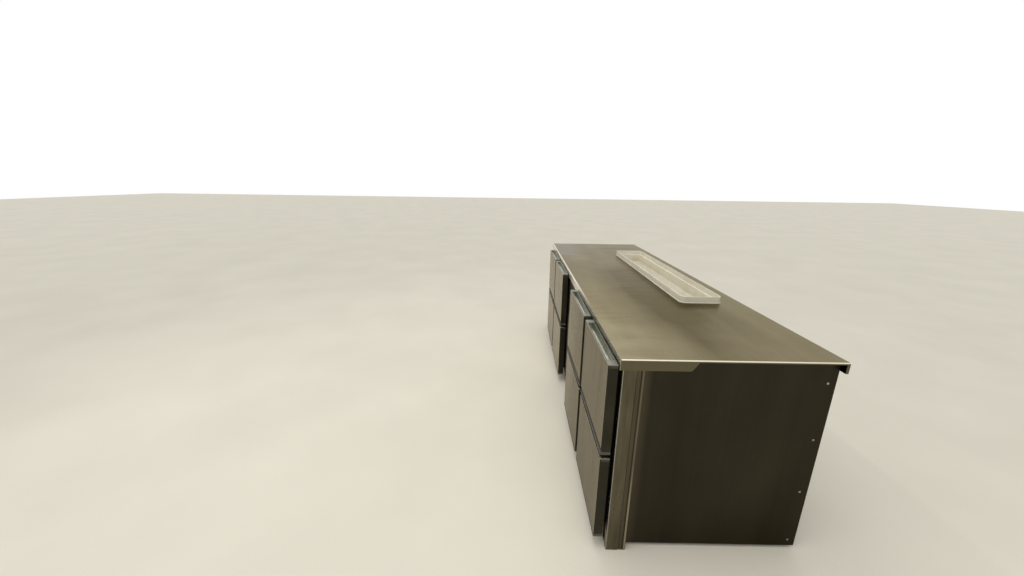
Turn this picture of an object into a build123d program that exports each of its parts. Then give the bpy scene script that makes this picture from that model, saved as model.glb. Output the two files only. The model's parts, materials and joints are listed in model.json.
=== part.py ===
from build123d import *
import os

# Refrigerated drawer counter for a galley, in millimetres.
# X runs along the counter and the near end is at +X. The fronts face -Y. Z is up from the floor.
# The origin is on the floor under the middle of the counter's outline.

os.makedirs("parts", exist_ok=True)

# Worktop
TOP_DEPTH = 800.0
TOP_HEIGHT = 850.0
SHEET = 1.5                # thickness of the folded sheet metal
LIP_HEIGHT = 42.0
LIP_RETURN = 10.0          # width of the fold that turns inward under a lip
TOP_EDGE_R = 3.0
TOP_OVERHANG = 12.0        # from a lip's face in to the cabinet's face
BOARD_THICK = 62.0         # insulated board under the sheet
NEAR_LIP_LENGTH = 277.0    # near lip from the front corner to its slanted end
NEAR_LIP_SLANT = 25.0
NEAR_EDGE_HEIGHT = 8.0     # what is left of the near lip behind the slanted end

# Drawer fronts
FRONT_THICK = 38.0
SEAL_THICK = 16.0          # from a front's back to the cabinet's face
FRONT_GAP_X = 50.0         # between two columns of fronts
FRONT_OVERLAP = 14.0       # how far a front reaches past its opening onto the middle wall
FRONT_GAP_Z = 14.0         # between an upper and a lower front
FRONT_TOP_DROP = 24.0      # from the worktop down to the top of a front
FRONT_SPLIT = 444.0        # middle of the gap between upper and lower fronts
FRONT_BOTTOM = 62.0
NEAR_MARGIN = 4.0          # from the near lip's face to the first front
TRIM_WIDTH = 12.0
TRIM_BAR = 15.0            # height of the trim's bottom bar, flush with the face
TRIM_RECESS = 5.0          # depth of the groove above the bar
UPPER_GROOVE = 18.0        # height of that groove in an upper front
LOWER_GROOVE = 2.0         # and in a lower front
SKIN = 1.5                 # stainless skin over the front face
CAP = 3.0                  # metal over the whole top
FRONT_CORNER_R = 6.0       # upright corners at the face
FRONT_FOOT = 3.5           # slope along the bottom edges at the face and sides

# Grip channel along the top of a front
GRIP_LIP = 5.0
GRIP_REAR = 5.0            # top left behind the channel
GRIP_LEAN = 7.0            # how far the rear wall leans back on its way up
GRIP_DEPTH = 22.0
GRIP_END = 38.0            # closed top at each end of the channel
GRIP_R = 5.0

# Seal with a bellows section
SEAL_WIDTH = 10.0
SEAL_NECK = 5.0
SEAL_FOOT = 4.0            # part of its thickness held by the front
SEAL_BAR = 5.0             # part that presses on the cabinet
SEAL_CLEAR = 0.3
SEAL_MARGIN = 2.0          # from an opening's edge to the seal

# Columns and bays along X
OPENING_WIDTH = 391.0
WALL = 50.0                # insulated walls
BAY_WIDTH = 390.0          # machine bay between the two groups
FAR_BAY_WIDTH = 174.0      # covered bay beyond the far group

# Cabinet
BASE_BOTTOM = 60.0
BASE_THICK = 50.0
RAIL_HEIGHT = 42.0         # middle rail between upper and lower openings
TOP_RAIL_HEIGHT = 18.0
RAIL_DEPTH = 40.0
END_PANEL_BOTTOM = 15.0

# Near end post
POST_STEP = 23.0           # how far it stands out from the near end panel
POST_WIDTH = 81.0
POST_INSET = 2.0           # from the near lip's face to the post's face
POST_FACE = 50.0           # from the front edge to the set-back strip
POST_FOLD = 2.5            # how far the strip is set back, and the run of its slopes
POST_BEAD = 11.0           # raised bead along the rear edge
POST_CORNER_R = 3.0

# Sauce well
WELL_LENGTH = 1340.0
WELL_WIDTH = 210.0
WELL_FROM_FRONT = 482.0    # from the front lip's face
WELL_FROM_NEAR = 666.0     # from the near lip's face
WELL_RIM = 34.0            # height above the worktop
WELL_SUNK = 58.0           # depth below the worktop
WELL_WALL = 4.0
WELL_SHOULDER = 10.0       # ledge that rests on the worktop
WELL_CLEAR = 1.0
WELL_CORNER_R = 28.0

# Drawer boxes
BOX_WALL = 1.5
BOX_HEM = 8.0
BOX_FLOOR_GAP = 16.0       # from an opening's bottom edge to the box
BOX_TOP_GAP = 70.0         # from the box's rim to an opening's top edge
BOX_BACK_DROP = 40.0       # how much lower the rear wall is
VENT_COUNT = 6
VENT_WIDTH = 10.0
VENT_HEIGHT = 60.0
VENT_TOP_GAP = 34.0        # from the rim down to the vent slots

# Telescopic slides: outer member on the cabinet, middle member, inner member on the box
SLIDE_LENGTH = 540.0
SLIDE_HEIGHT = 44.0
SLIDE_THICK = 12.7
SLIDE_SHEET = 1.5
SLIDE_PLAY = 0.4           # between members, above and below
SLIDE_SIDE_PLAY = 0.5      # between the members' webs and the flange tips
SLIDE_FRONT_GAP = 6.0      # from the cabinet's face to the slides
SLIDE_RISE = 62.0          # slide's middle above the box's floor

# Machine bay, base and feet
PANEL_FOLD = 20.0
LOUVRE_COUNT = 14
LOUVRE_WIDTH = 290.0
LOUVRE_HEIGHT = 10.0
LOUVRE_PITCH = 30.0
LOUVRE_BOTTOM = 150.0      # first louvre above the floor
LOUVRE_HOOD = 9.0
PLATE_WIDTH = 200.0        # blank control plate
PLATE_HEIGHT = 62.0
PLATE_THICK = 4.0
PLATE_TOP_GAP = 40.0
COMPRESSOR = (300.0, 450.0, 290.0)
COMPRESSOR_SETBACK = 70.0  # behind the bay panel
KICK_SETBACK = 50.0
KICK_CLEAR = 8.0           # kick panel above the floor
KICK_FLANGE = 30.0
FOOT_END_GAP = 145.0       # from the counter's ends to the outer legs
FOOT_INNER = 400.0         # inner legs' distance from the middle
FOOT_CLEAR = 12.0          # from the kick panel's fold to the front row of legs
FOOT_REAR_GAP = 79.0       # rear row of legs in front of the cabinet's back
LEG_R = 19.0
FOOT_PLATE = (110.0, 50.0, 5.0)
ANCHOR_R = 5.5
ANCHOR_FROM_LEG = 58.0
CABLE_R = 20.0             # cable outlet through the back panel
CABLE_HEIGHT = 200.0

# Places worked out from the sizes above
PARTITION = FRONT_GAP_X + 2 * FRONT_OVERLAP    # wall between two columns
GROUP_WIDTH = 2 * WALL + 2 * OPENING_WIDTH + PARTITION
TOP_LENGTH = NEAR_MARGIN + 2 * GROUP_WIDTH + BAY_WIDTH + FAR_BAY_WIDTH + WALL + TOP_OVERHANG
FRONT_PROUD = SEAL_THICK + FRONT_THICK - TOP_OVERHANG
DEPTH_ALL = TOP_DEPTH + FRONT_PROUD
X_NEAR = TOP_LENGTH / 2
X_FAR = -TOP_LENGTH / 2
Y_LIP = -DEPTH_ALL / 2 + FRONT_PROUD
Y_REAR = DEPTH_ALL / 2
Y_FACE = Y_LIP + TOP_OVERHANG                  # the cabinet's front face
Y_SLAB_BACK = Y_FACE - SEAL_THICK
Y_FRONT = Y_SLAB_BACK - FRONT_THICK
Y_BACK = Y_REAR - TOP_OVERHANG                 # the cabinet's back
Z_SHEET = TOP_HEIGHT - SHEET
Z_BOARD = Z_SHEET - BOARD_THICK                # underside of the insulated board
Z_LIP = TOP_HEIGHT - LIP_HEIGHT
Z_BASE = BASE_BOTTOM + BASE_THICK
Z_FRONT = TOP_HEIGHT - FRONT_TOP_DROP
X_GROUP = X_NEAR - NEAR_MARGIN                 # near edge of the first front
X_POST = X_NEAR - POST_INSET
X_END_NEAR = X_POST - POST_STEP                # outer face of the near end panel
X_END_FAR = X_FAR + TOP_OVERHANG
FRONT_WIDTH = (GROUP_WIDTH - FRONT_GAP_X) / 2
SLIDE_SPACE = SLIDE_THICK + SLIDE_SIDE_PLAY
BOX_DEPTH = SEAL_THICK + SLIDE_FRONT_GAP + SLIDE_LENGTH
WELL_X = X_NEAR - WELL_FROM_NEAR - WELL_LENGTH / 2
WELL_Y = Y_LIP + WELL_FROM_FRONT + WELL_WIDTH / 2

# Each group of two columns, with the X of its near edge
GROUPS = {
    "near": X_GROUP,
    "far": X_GROUP - GROUP_WIDTH - BAY_WIDTH,
}

# Columns: number, group, place in the group
COLUMNS = (
    (1, "near", 0),
    (2, "near", 1),
    (3, "far", 0),
    (4, "far", 1),
)

# Rows: name, front's bottom and top, opening's bottom and top, groove above the trim's bar
ROWS = (
    ("upper", FRONT_SPLIT + FRONT_GAP_Z / 2, Z_FRONT,
     FRONT_SPLIT + RAIL_HEIGHT / 2, Z_BOARD - TOP_RAIL_HEIGHT, UPPER_GROOVE),
    ("lower", FRONT_BOTTOM, FRONT_SPLIT - FRONT_GAP_Z / 2,
     Z_BASE, FRONT_SPLIT - RAIL_HEIGHT / 2, LOWER_GROOVE),
)


def block(x0, x1, y0, y1, z0, z1):
    """Return the box between two X, two Y and two Z values."""
    middle = ((x0 + x1) / 2, (y0 + y1) / 2, (z0 + z1) / 2)
    return Pos(*middle) * Box(abs(x1 - x0), abs(y1 - y0), abs(z1 - z0))


def prism_x(points, x0, x1):
    """Return the (y, z) outline drawn from x0 to x1."""
    outline = Plane.YZ * Polygon(*points, align=None)
    return Pos(min(x0, x1), 0, 0) * extrude(outline, abs(x1 - x0), dir=(1, 0, 0))


def ring(x0, x1, z0, z1, width, y0, y1):
    """Return a rectangular ring in the XZ plane, whose inner edges are the given ones."""
    outer = block(x0 - width, x1 + width, y0, y1, z0 - width, z1 + width)
    return outer - block(x0, x1, y0 - 1, y1 + 1, z0, z1)


def rounded_block(length, width, height, radius):
    """Return a block standing on Z = 0 with rounded upright corners."""
    return extrude(RectangleRounded(length, width, radius), height)


def group_parts(solids):
    """Return several solids of one sub-part as one shape."""
    return Compound(children=list(solids))


def opening_edges(group, place):
    """Return the far and near X of a column's opening."""
    near = GROUPS[group] - WALL - place * (OPENING_WIDTH + PARTITION)
    return near - OPENING_WIDTH, near


def front_edges(group, place):
    """Return the far and near X of a column's fronts."""
    near = GROUPS[group] - place * (FRONT_WIDTH + FRONT_GAP_X)
    return near - FRONT_WIDTH, near


def well_cutter(grow, z0, z1):
    """Return the space of the well's sunk part, grown sideways."""
    length = WELL_LENGTH - 2 * WELL_SHOULDER + 2 * grow
    width = WELL_WIDTH - 2 * WELL_SHOULDER + 2 * grow
    radius = WELL_CORNER_R - WELL_SHOULDER + grow
    return Pos(WELL_X, WELL_Y, z0) * rounded_block(length, width, z1 - z0, radius)


def worktop_sheet():
    """Return the folded top with its lips, its cut-out and the short near lip."""
    body = block(X_FAR, X_NEAR, Y_LIP, Y_REAR, Z_LIP, TOP_HEIGHT)
    top_edges = body.edges().group_by(Axis.Z)[-1]
    body = fillet(top_edges + body.edges().filter_by(Axis.Z), TOP_EDGE_R)
    body -= block(X_FAR + SHEET, X_NEAR - SHEET, Y_LIP + SHEET, Y_REAR - SHEET, Z_LIP + SHEET, Z_SHEET)
    fold = SHEET + LIP_RETURN
    body -= block(X_FAR + fold, X_NEAR - fold, Y_LIP + fold, Y_REAR - fold, Z_LIP - 1, Z_LIP + 2 * SHEET)
    z_edge = TOP_HEIGHT - NEAR_EDGE_HEIGHT
    y_cut = Y_LIP + NEAR_LIP_LENGTH
    y_end = Y_REAR - TOP_OVERHANG
    slant = [(y_cut - NEAR_LIP_SLANT, Z_LIP - 1), (y_cut, z_edge), (y_end, z_edge), (y_end, Z_LIP - 1)]
    body -= prism_x(slant, X_NEAR - fold, X_NEAR + 1)
    return body - well_cutter(WELL_CLEAR, Z_SHEET - 1, TOP_HEIGHT + 1)


def top_board():
    """Return the four insulated boards that meet round the well, under the sheet."""
    x_gap = WELL_LENGTH / 2 - WELL_SHOULDER + WELL_CLEAR
    y_gap = WELL_WIDTH / 2 - WELL_SHOULDER + WELL_CLEAR
    boards = (
        (X_END_FAR, X_END_NEAR, Y_FACE, WELL_Y - y_gap),
        (X_END_FAR, X_END_NEAR, WELL_Y + y_gap, Y_BACK),
        (X_END_FAR, WELL_X - x_gap, WELL_Y - y_gap, WELL_Y + y_gap),
        (WELL_X + x_gap, X_END_NEAR, WELL_Y - y_gap, WELL_Y + y_gap),
    )
    return group_parts(block(*edges, Z_BOARD, Z_SHEET) for edges in boards)


def sauce_well():
    """Return the thin-walled pan, whose wider rim rests on the worktop."""
    base = TOP_HEIGHT - WELL_SUNK
    rim = rounded_block(WELL_LENGTH, WELL_WIDTH, WELL_RIM, WELL_CORNER_R)
    pan = Pos(WELL_X, WELL_Y, TOP_HEIGHT) * rim + well_cutter(0, base, TOP_HEIGHT + WELL_WALL)
    inner_length = WELL_LENGTH - 2 * WELL_WALL
    inner_width = WELL_WIDTH - 2 * WELL_WALL
    upper = rounded_block(inner_length, inner_width, WELL_RIM, WELL_CORNER_R - WELL_WALL)
    pan -= Pos(WELL_X, WELL_Y, TOP_HEIGHT + WELL_WALL) * upper
    pan -= well_cutter(-WELL_WALL, base + WELL_WALL, TOP_HEIGHT + 2 * WELL_WALL)
    return chamfer(pan.edges().group_by(Axis.Z)[-1], WELL_WALL / 4)


def near_end_post():
    """Return the folded channel at the near front corner, down to the floor."""
    y_strip = Y_FACE + POST_FACE
    y_end = Y_FACE + POST_WIDTH
    y_bead = y_end - POST_BEAD
    x_open = X_END_NEAR - POST_STEP
    x_strip = X_POST - POST_FOLD
    outline = Polygon(
        (x_open, Y_FACE), (X_POST, Y_FACE),
        (X_POST, y_strip), (x_strip, y_strip + POST_FOLD),
        (x_strip, y_bead - POST_FOLD), (X_POST, y_bead),
        (X_POST, y_end), (x_open, y_end), align=None)
    inside = offset(outline, -SHEET, kind=Kind.INTERSECTION)
    post = extrude(outline, Z_LIP)
    upright = post.edges().filter_by(Axis.Z)
    corners = [upright.sort_by_distance((X_POST, y, Z_LIP / 2))[0] for y in (Y_FACE, y_end)]
    post = fillet(corners, POST_CORNER_R) - Pos(0, 0, -1) * extrude(inside, Z_LIP + 2)
    return post & block(X_END_NEAR, X_POST, Y_FACE, y_end, 0, Z_LIP)


def near_end_panel():
    """Return the insulated end panel behind the post."""
    return block(X_GROUP - WALL, X_END_NEAR, Y_FACE, Y_BACK, END_PANEL_BOTTOM, Z_BOARD)


def far_end_panel():
    """Return the insulated end panel at the far end."""
    return block(X_END_FAR, X_END_FAR + WALL, Y_FACE, Y_BACK, END_PANEL_BOTTOM, Z_BOARD)


def base_panel():
    """Return the insulated floor of the cabinet."""
    return block(X_END_FAR + WALL, X_GROUP - WALL, Y_FACE, Y_BACK - WALL, BASE_BOTTOM, Z_BASE)


def back_panel():
    """Return the insulated back with its cable outlet behind the machine bay."""
    panel = block(X_END_FAR + WALL, X_GROUP - WALL, Y_BACK - WALL, Y_BACK, BASE_BOTTOM, Z_BOARD)
    x_bay = GROUPS["far"] + BAY_WIDTH / 2
    outlet = Pos(x_bay, Y_BACK - WALL / 2, CABLE_HEIGHT) * Rot(90, 0, 0) * Cylinder(CABLE_R, WALL + 2)
    return panel - outlet


def column_partitions():
    """Return the bay walls and middle partitions; the near end panel is the first group's near wall."""
    walls = []
    for name, near in GROUPS.items():
        far = near - GROUP_WIDTH
        middle = near - GROUP_WIDTH / 2
        spans = [(far, far + WALL), (middle - PARTITION / 2, middle + PARTITION / 2)]
        if name == "far":
            spans.append((near - WALL, near))
        for x0, x1 in spans:
            walls.append(block(x0, x1, Y_FACE, Y_BACK - WALL, Z_BASE, Z_BOARD))
    return group_parts(walls)


def front_rails():
    """Return the top and middle rails of every column."""
    rails = []
    for _, group, place in COLUMNS:
        x0, x1 = opening_edges(group, place)
        middle = (FRONT_SPLIT - RAIL_HEIGHT / 2, FRONT_SPLIT + RAIL_HEIGHT / 2)
        top = (Z_BOARD - TOP_RAIL_HEIGHT, Z_BOARD)
        for z0, z1 in (middle, top):
            rails.append(block(x0, x1, Y_FACE, Y_FACE + RAIL_DEPTH, z0, z1))
    return group_parts(rails)


def folded_cover(x0, x1, z0, z1):
    """Return a flat cover with its four edges folded back."""
    cover = block(x0, x1, Y_FACE, Y_FACE + PANEL_FOLD, z0, z1)
    inner = block(x0 + SHEET, x1 - SHEET, Y_FACE + SHEET, Y_FACE + PANEL_FOLD + 1, z0 + SHEET, z1 - SHEET)
    return cover - inner


def bay_panel():
    """Return the machine bay's cover, with pressed louvres and the blank control plate."""
    x1 = GROUPS["far"] + BAY_WIDTH
    x0 = GROUPS["far"]
    x_mid = (x0 + x1) / 2
    panel = folded_cover(x0, x1, Z_BASE, Z_BOARD)
    left = x_mid - LOUVRE_WIDTH / 2
    right = x_mid + LOUVRE_WIDTH / 2
    for i in range(LOUVRE_COUNT):
        z = LOUVRE_BOTTOM + i * LOUVRE_PITCH
        y_out = Y_FACE - LOUVRE_HOOD
        hood = [(Y_FACE + SHEET, z + 2 * LOUVRE_HEIGHT), (y_out, z), (y_out, z - SHEET),
                (y_out + SHEET, z - SHEET), (Y_FACE + SHEET, z + 2 * LOUVRE_HEIGHT - 2 * SHEET)]
        panel -= block(left, right, Y_FACE - 1, Y_FACE + SHEET + 1, z - SHEET, z + LOUVRE_HEIGHT)
        panel += prism_x(hood, left, right)
    z_plate = Z_BOARD - PLATE_TOP_GAP
    plate_x = (x_mid - PLATE_WIDTH / 2, x_mid + PLATE_WIDTH / 2)
    plate = block(*plate_x, Y_FACE - PLATE_THICK, Y_FACE, z_plate - PLATE_HEIGHT, z_plate)
    plate = chamfer(plate.faces().sort_by(Axis.Y)[0].edges(), PLATE_THICK / 2)
    return panel + plate


def far_bay_panel():
    """Return the plain cover of the narrow bay at the far end."""
    return folded_cover(X_END_FAR + WALL, GROUPS["far"] - GROUP_WIDTH, Z_BASE, Z_BOARD)


def compressor():
    """Return the plain block that stands for the compressor unit in the machine bay."""
    x_mid = GROUPS["far"] + BAY_WIDTH / 2
    y0 = Y_FACE + COMPRESSOR_SETBACK
    length, depth, height = COMPRESSOR
    return block(x_mid - length / 2, x_mid + length / 2, y0, y0 + depth, Z_BASE, Z_BASE + height)


def kick_panel():
    """Return the recessed strip under the fronts, folded back along its top."""
    y0 = Y_FACE + KICK_SETBACK
    x0 = X_END_FAR + WALL
    x1 = X_GROUP - WALL
    upright = block(x0, x1, y0, y0 + SHEET, KICK_CLEAR, BASE_BOTTOM)
    return upright + block(x0, x1, y0, y0 + KICK_FLANGE, BASE_BOTTOM - SHEET, BASE_BOTTOM)


def feet():
    """Return the legs, each on a plate with an anchor hole on its outer side."""
    legs = []
    length, width, thick = FOOT_PLATE
    y_front = Y_FACE + KICK_SETBACK + KICK_FLANGE + FOOT_CLEAR + LEG_R
    for distance in (X_NEAR - FOOT_END_GAP, FOOT_INNER):
        for side in (-1, 1):
            for y in (y_front, Y_BACK - FOOT_REAR_GAP):
                x_leg = side * distance
                x_hole = side * (distance + ANCHOR_FROM_LEG)
                x_plate = (x_leg + x_hole) / 2
                leg = Pos(x_leg, y, BASE_BOTTOM / 2) * Cylinder(LEG_R, BASE_BOTTOM)
                leg += Pos(x_plate, y, thick / 2) * Box(length, width, thick)
                leg -= Pos(x_hole, y, thick / 2) * Cylinder(ANCHOR_R, thick + 2)
                legs.append(leg)
    return group_parts(legs)


def channel(x_web, toward, depth, height, y0, y1, z_mid):
    """Return a C-shaped member whose web is at x_web and whose flanges point toward -1 or +1."""
    tip = x_web + toward * depth
    outer = block(x_web, tip, y0, y1, z_mid - height / 2, z_mid + height / 2)
    web = x_web + toward * SLIDE_SHEET
    z0 = z_mid - height / 2 + SLIDE_SHEET
    z1 = z_mid + height / 2 - SLIDE_SHEET
    return outer - block(web, tip + toward, y0 - 1, y1 + 1, z0, z1)


def slide_member(member, x_wall, toward, z_mid):
    """Return one member of a slide fixed to the wall at x_wall; toward points to the drawer."""
    y0 = Y_FACE + SLIDE_FRONT_GAP
    y1 = y0 + SLIDE_LENGTH
    nest = 2 * (SLIDE_SHEET + SLIDE_PLAY)
    step = SLIDE_SHEET + SLIDE_SIDE_PLAY
    if member == "outer":
        return channel(x_wall, toward, SLIDE_THICK - step, SLIDE_HEIGHT, y0, y1, z_mid)
    if member == "middle":
        depth = SLIDE_THICK - step - SLIDE_SIDE_PLAY
        return channel(x_wall + toward * step, toward, depth - step, SLIDE_HEIGHT - nest, y0, y1, z_mid)
    tip = x_wall + toward * SLIDE_SPACE
    return channel(tip, -toward, SLIDE_SPACE - 2 * step, SLIDE_HEIGHT - 2 * nest, y0, y1, z_mid)


def slide_pair(member, group, place, opening_bottom):
    """Return the left and right members of one drawer's slides."""
    x0, x1 = opening_edges(group, place)
    z_mid = opening_bottom + BOX_FLOOR_GAP + SLIDE_RISE
    return [slide_member(member, x0, 1, z_mid), slide_member(member, x1, -1, z_mid)]


def runners(group_name):
    """Return the slides' fixed members of one group."""
    members = []
    for _, group, place in COLUMNS:
        if group == group_name:
            for row in ROWS:
                members += slide_pair("outer", group, place, row[3])
    return group_parts(members)


def front_outside(group, place, z0, z1):
    """Return the whole outside of a front, with rounded upright corners at the face and a sloped foot."""
    x0, x1 = front_edges(group, place)
    whole = block(x0, x1, Y_FRONT, Y_SLAB_BACK, z0, z1)
    whole = fillet(whole.edges().filter_by(Axis.Z).group_by(Axis.Y)[0], FRONT_CORNER_R)
    return chamfer(whole.edges().group_by(Axis.Z)[0].sort_by(Axis.Y)[:-1], FRONT_FOOT)


def grip_cutter(x0, x1, z1):
    """Return the space of the grip channel: rounded floor and a rear wall that leans back."""
    y0 = Y_FRONT + GRIP_LIP
    y1 = Y_SLAB_BACK - GRIP_REAR
    outline = [(y0, z1), (y0, z1 - GRIP_DEPTH), (y1 - GRIP_LEAN, z1 - GRIP_DEPTH), (y1, z1)]
    channel = prism_x(outline, x0 + GRIP_END, x1 - GRIP_END)
    return fillet(channel.edges().filter_by(Axis.X).group_by(Axis.Z)[0], GRIP_R)


def drawer_front(group, place, z0, z1, groove):
    """Return the foam-filled slab with its skin, cap and grip channel."""
    x0, x1 = front_edges(group, place)
    z_skin = z0 + TRIM_BAR + groove
    slab = block(x0 + TRIM_WIDTH, x1 - TRIM_WIDTH, Y_FRONT, Y_SLAB_BACK, z_skin, z1)
    slab += block(x0, x1, Y_FRONT, Y_SLAB_BACK, z1 - CAP, z1)
    slab += block(x0, x1, Y_FRONT, Y_FRONT + SKIN, z_skin, z1)
    return (slab & front_outside(group, place, z0, z1)) - grip_cutter(x0, x1, z1)


def drawer_trim(group, place, z0, z1, groove):
    """Return the plastic edge round the slab's sides and bottom, with a groove above its bottom bar."""
    x0, x1 = front_edges(group, place)
    z_bar = z0 + TRIM_BAR
    trim = front_outside(group, place, z0, z1 - CAP)
    trim -= block(x0 - 1, x1 + 1, Y_FRONT - 1, Y_FRONT + SKIN, z_bar, z1)
    trim -= block(x0 - 1, x1 + 1, Y_FRONT - 1, Y_FRONT + TRIM_RECESS, z_bar, z_bar + groove)
    return trim - block(x0 + TRIM_WIDTH, x1 - TRIM_WIDTH, Y_FRONT - 1, Y_FACE, z_bar + groove, z1)


def drawer_seal(group, place, z0, z1):
    """Return the seal round an opening: foot, narrow bellows neck and pressing bar."""
    x0, x1 = opening_edges(group, place)
    inner = (x0 - SEAL_MARGIN, x1 + SEAL_MARGIN, z0 - SEAL_MARGIN, z1 + SEAL_MARGIN)
    inset = (SEAL_WIDTH - SEAL_NECK) / 2
    neck = (inner[0] - inset, inner[1] + inset, inner[2] - inset, inner[3] + inset)
    y_neck = Y_SLAB_BACK + SEAL_FOOT
    y_bar = Y_FACE - SEAL_CLEAR - SEAL_BAR
    seal = ring(*inner, SEAL_WIDTH, Y_SLAB_BACK, y_neck)
    seal += ring(*neck, SEAL_NECK, y_neck, y_bar)
    return seal + ring(*inner, SEAL_WIDTH, y_bar, Y_FACE - SEAL_CLEAR)


def drawer_box(group, place, opening_bottom, opening_top):
    """Return the open drawer with hemmed rim, vent slots and the slides' inner members."""
    x0, x1 = opening_edges(group, place)
    x0 += SLIDE_SPACE
    x1 -= SLIDE_SPACE
    y0 = Y_SLAB_BACK
    y1 = y0 + BOX_DEPTH
    z0 = opening_bottom + BOX_FLOOR_GAP
    z1 = opening_top - BOX_TOP_GAP
    body = block(x0, x1, y0, y1, z0, z1)
    body -= block(x0 + BOX_WALL, x1 - BOX_WALL, y0 + BOX_WALL, y1 - BOX_WALL, z0 + BOX_WALL, z1 + 1)
    body -= block(x0 + BOX_WALL, x1 - BOX_WALL, y1 - 2 * BOX_WALL, y1 + 1, z1 - BOX_BACK_DROP, z1 + 1)
    for x, toward in ((x0, -1), (x1, 1)):
        body += block(x, x + toward * BOX_HEM, Y_FACE + SLIDE_FRONT_GAP, y1, z1 - BOX_WALL, z1)
    pitch = BOX_DEPTH / (VENT_COUNT + 1)
    z_vent = z1 - VENT_TOP_GAP
    for i in range(VENT_COUNT):
        y = y0 + (i + 1) * pitch
        body -= block(x0 - 1, x1 + 1, y - VENT_WIDTH / 2, y + VENT_WIDTH / 2, z_vent - VENT_HEIGHT, z_vent)
    for member in slide_pair("inner", group, place, opening_bottom):
        body += member
    return body


def main():
    """Write every sub-part."""
    fixed = {
        "worktop_sheet": worktop_sheet(),
        "top_board": top_board(),
        "sauce_well": sauce_well(),
        "near_end_post": near_end_post(),
        "near_end_panel": near_end_panel(),
        "far_end_panel": far_end_panel(),
        "base_panel": base_panel(),
        "back_panel": back_panel(),
        "column_partitions": column_partitions(),
        "front_rails": front_rails(),
        "bay_panel": bay_panel(),
        "far_bay_panel": far_bay_panel(),
        "compressor": compressor(),
        "kick_panel": kick_panel(),
        "feet": feet(),
        "runners_near": runners("near"),
        "runners_far": runners("far"),
    }
    for node, shape in fixed.items():
        export_step(shape, f"parts/{node}.step")
    for number, group, place in COLUMNS:
        for row, z0, z1, open0, open1, groove in ROWS:
            end = f"{number}_{row}"
            export_step(drawer_front(group, place, z0, z1, groove), f"parts/front_{end}.step")
            export_step(drawer_trim(group, place, z0, z1, groove), f"parts/trim_{end}.step")
            export_step(drawer_seal(group, place, open0, open1), f"parts/seal_{end}.step")
            export_step(drawer_box(group, place, open0, open1), f"parts/box_{end}.step")
            export_step(group_parts(slide_pair("middle", group, place, open0)), f"parts/slide_{end}.step")


main()
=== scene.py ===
"""Looks of a refrigerated drawer counter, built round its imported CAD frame."""

import json
import logging
import math
from dataclasses import dataclass, field
from enum import Enum
from functools import partial, reduce
from typing import NamedTuple, Self, Sequence

import bmesh
import bpy
from mathutils import Matrix, Vector


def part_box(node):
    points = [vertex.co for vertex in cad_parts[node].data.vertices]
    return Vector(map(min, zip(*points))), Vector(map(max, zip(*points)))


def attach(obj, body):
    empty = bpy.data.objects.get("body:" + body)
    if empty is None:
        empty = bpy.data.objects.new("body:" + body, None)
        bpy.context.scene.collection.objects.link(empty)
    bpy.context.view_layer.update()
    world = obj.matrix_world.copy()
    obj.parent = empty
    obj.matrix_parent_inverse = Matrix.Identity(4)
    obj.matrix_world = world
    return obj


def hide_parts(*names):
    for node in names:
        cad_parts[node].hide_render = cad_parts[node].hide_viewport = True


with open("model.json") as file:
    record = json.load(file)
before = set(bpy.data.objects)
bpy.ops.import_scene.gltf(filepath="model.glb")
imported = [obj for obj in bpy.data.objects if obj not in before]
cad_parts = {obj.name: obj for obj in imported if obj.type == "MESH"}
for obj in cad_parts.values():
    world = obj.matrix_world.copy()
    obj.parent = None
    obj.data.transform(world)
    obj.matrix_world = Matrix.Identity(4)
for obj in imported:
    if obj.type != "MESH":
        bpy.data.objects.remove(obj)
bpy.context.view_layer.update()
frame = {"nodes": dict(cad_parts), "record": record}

LOG = logging.getLogger("counter")
MM = 0.001
MERGE_DISTANCE = 1e-6
HEXAGON = 6
ROWS = ("upper", "lower")
COLUMNS = (1, 2, 3, 4)
SMOOTH_ANGLE = math.radians(32)
STRAIGHT = math.radians(89)

Pair = Span = tuple[float, float]
Triple = Colour = tuple[float, float, float]
Run = tuple[float, float, float, float]
Outline = Sequence[Pair]
Corners = Sequence[Triple]
Ring = list[Vector]
Socket = bpy.types.NodeSocket
Value = Socket | float
Material = bpy.types.Material
Mesh = bpy.types.Mesh

EVEN: Triple = (1.0, 1.0, 1.0)
STILL: Triple = (0.0, 0.0, 0.0)
NOISE_SPAN: Span = (0.3, 0.7)


class Facing(Enum):
    """Turn that points a fastener's head away from the surface it sits on."""

    UP = (0.0, 0.0, 0.0)
    FRONT = (math.pi / 2, 0.0, 0.0)
    BACK = (-math.pi / 2, 0.0, 0.0)
    NEAR = (0.0, math.pi / 2, 0.0)
    FAR = (0.0, -math.pi / 2, 0.0)


class Screw(Enum):
    """Socket-head screw, by its head's radius and height and its socket's radius in metres."""

    GRIP = (0.0034, 0.0011, 0.0015)
    COVER = (0.0045, 0.0022, 0.0019)
    PANEL = (0.0045, 0.0020, 0.0019)
    SEAM = (0.0036, 0.0018, 0.0015)


class Grain(Enum):
    """Direction in which a metal is brushed, as a unit vector."""

    ALONG = (1.0, 0.0, 0.0)
    DEEP = (0.0, 1.0, 0.0)
    UPRIGHT = (0.0, 0.0, 1.0)

    def drawn(self, share: float) -> Triple:
        """Return the pattern's scale on each axis, with the given share of it along the grain."""
        return tuple(1.0 - a * (1.0 - share) for a in self.value)


class Sweep(Enum):
    """Axis that an outline is swept along; the outline lies across it."""

    X = 0
    Y = 1
    Z = 2

    def place(self, corner: Pair, along: float) -> Vector:
        """Return an outline's corner at a place on the axis."""
        a, b = corner
        return Vector(((along, a, b), (a, along, b), (a, b, along))[self.value])


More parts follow.
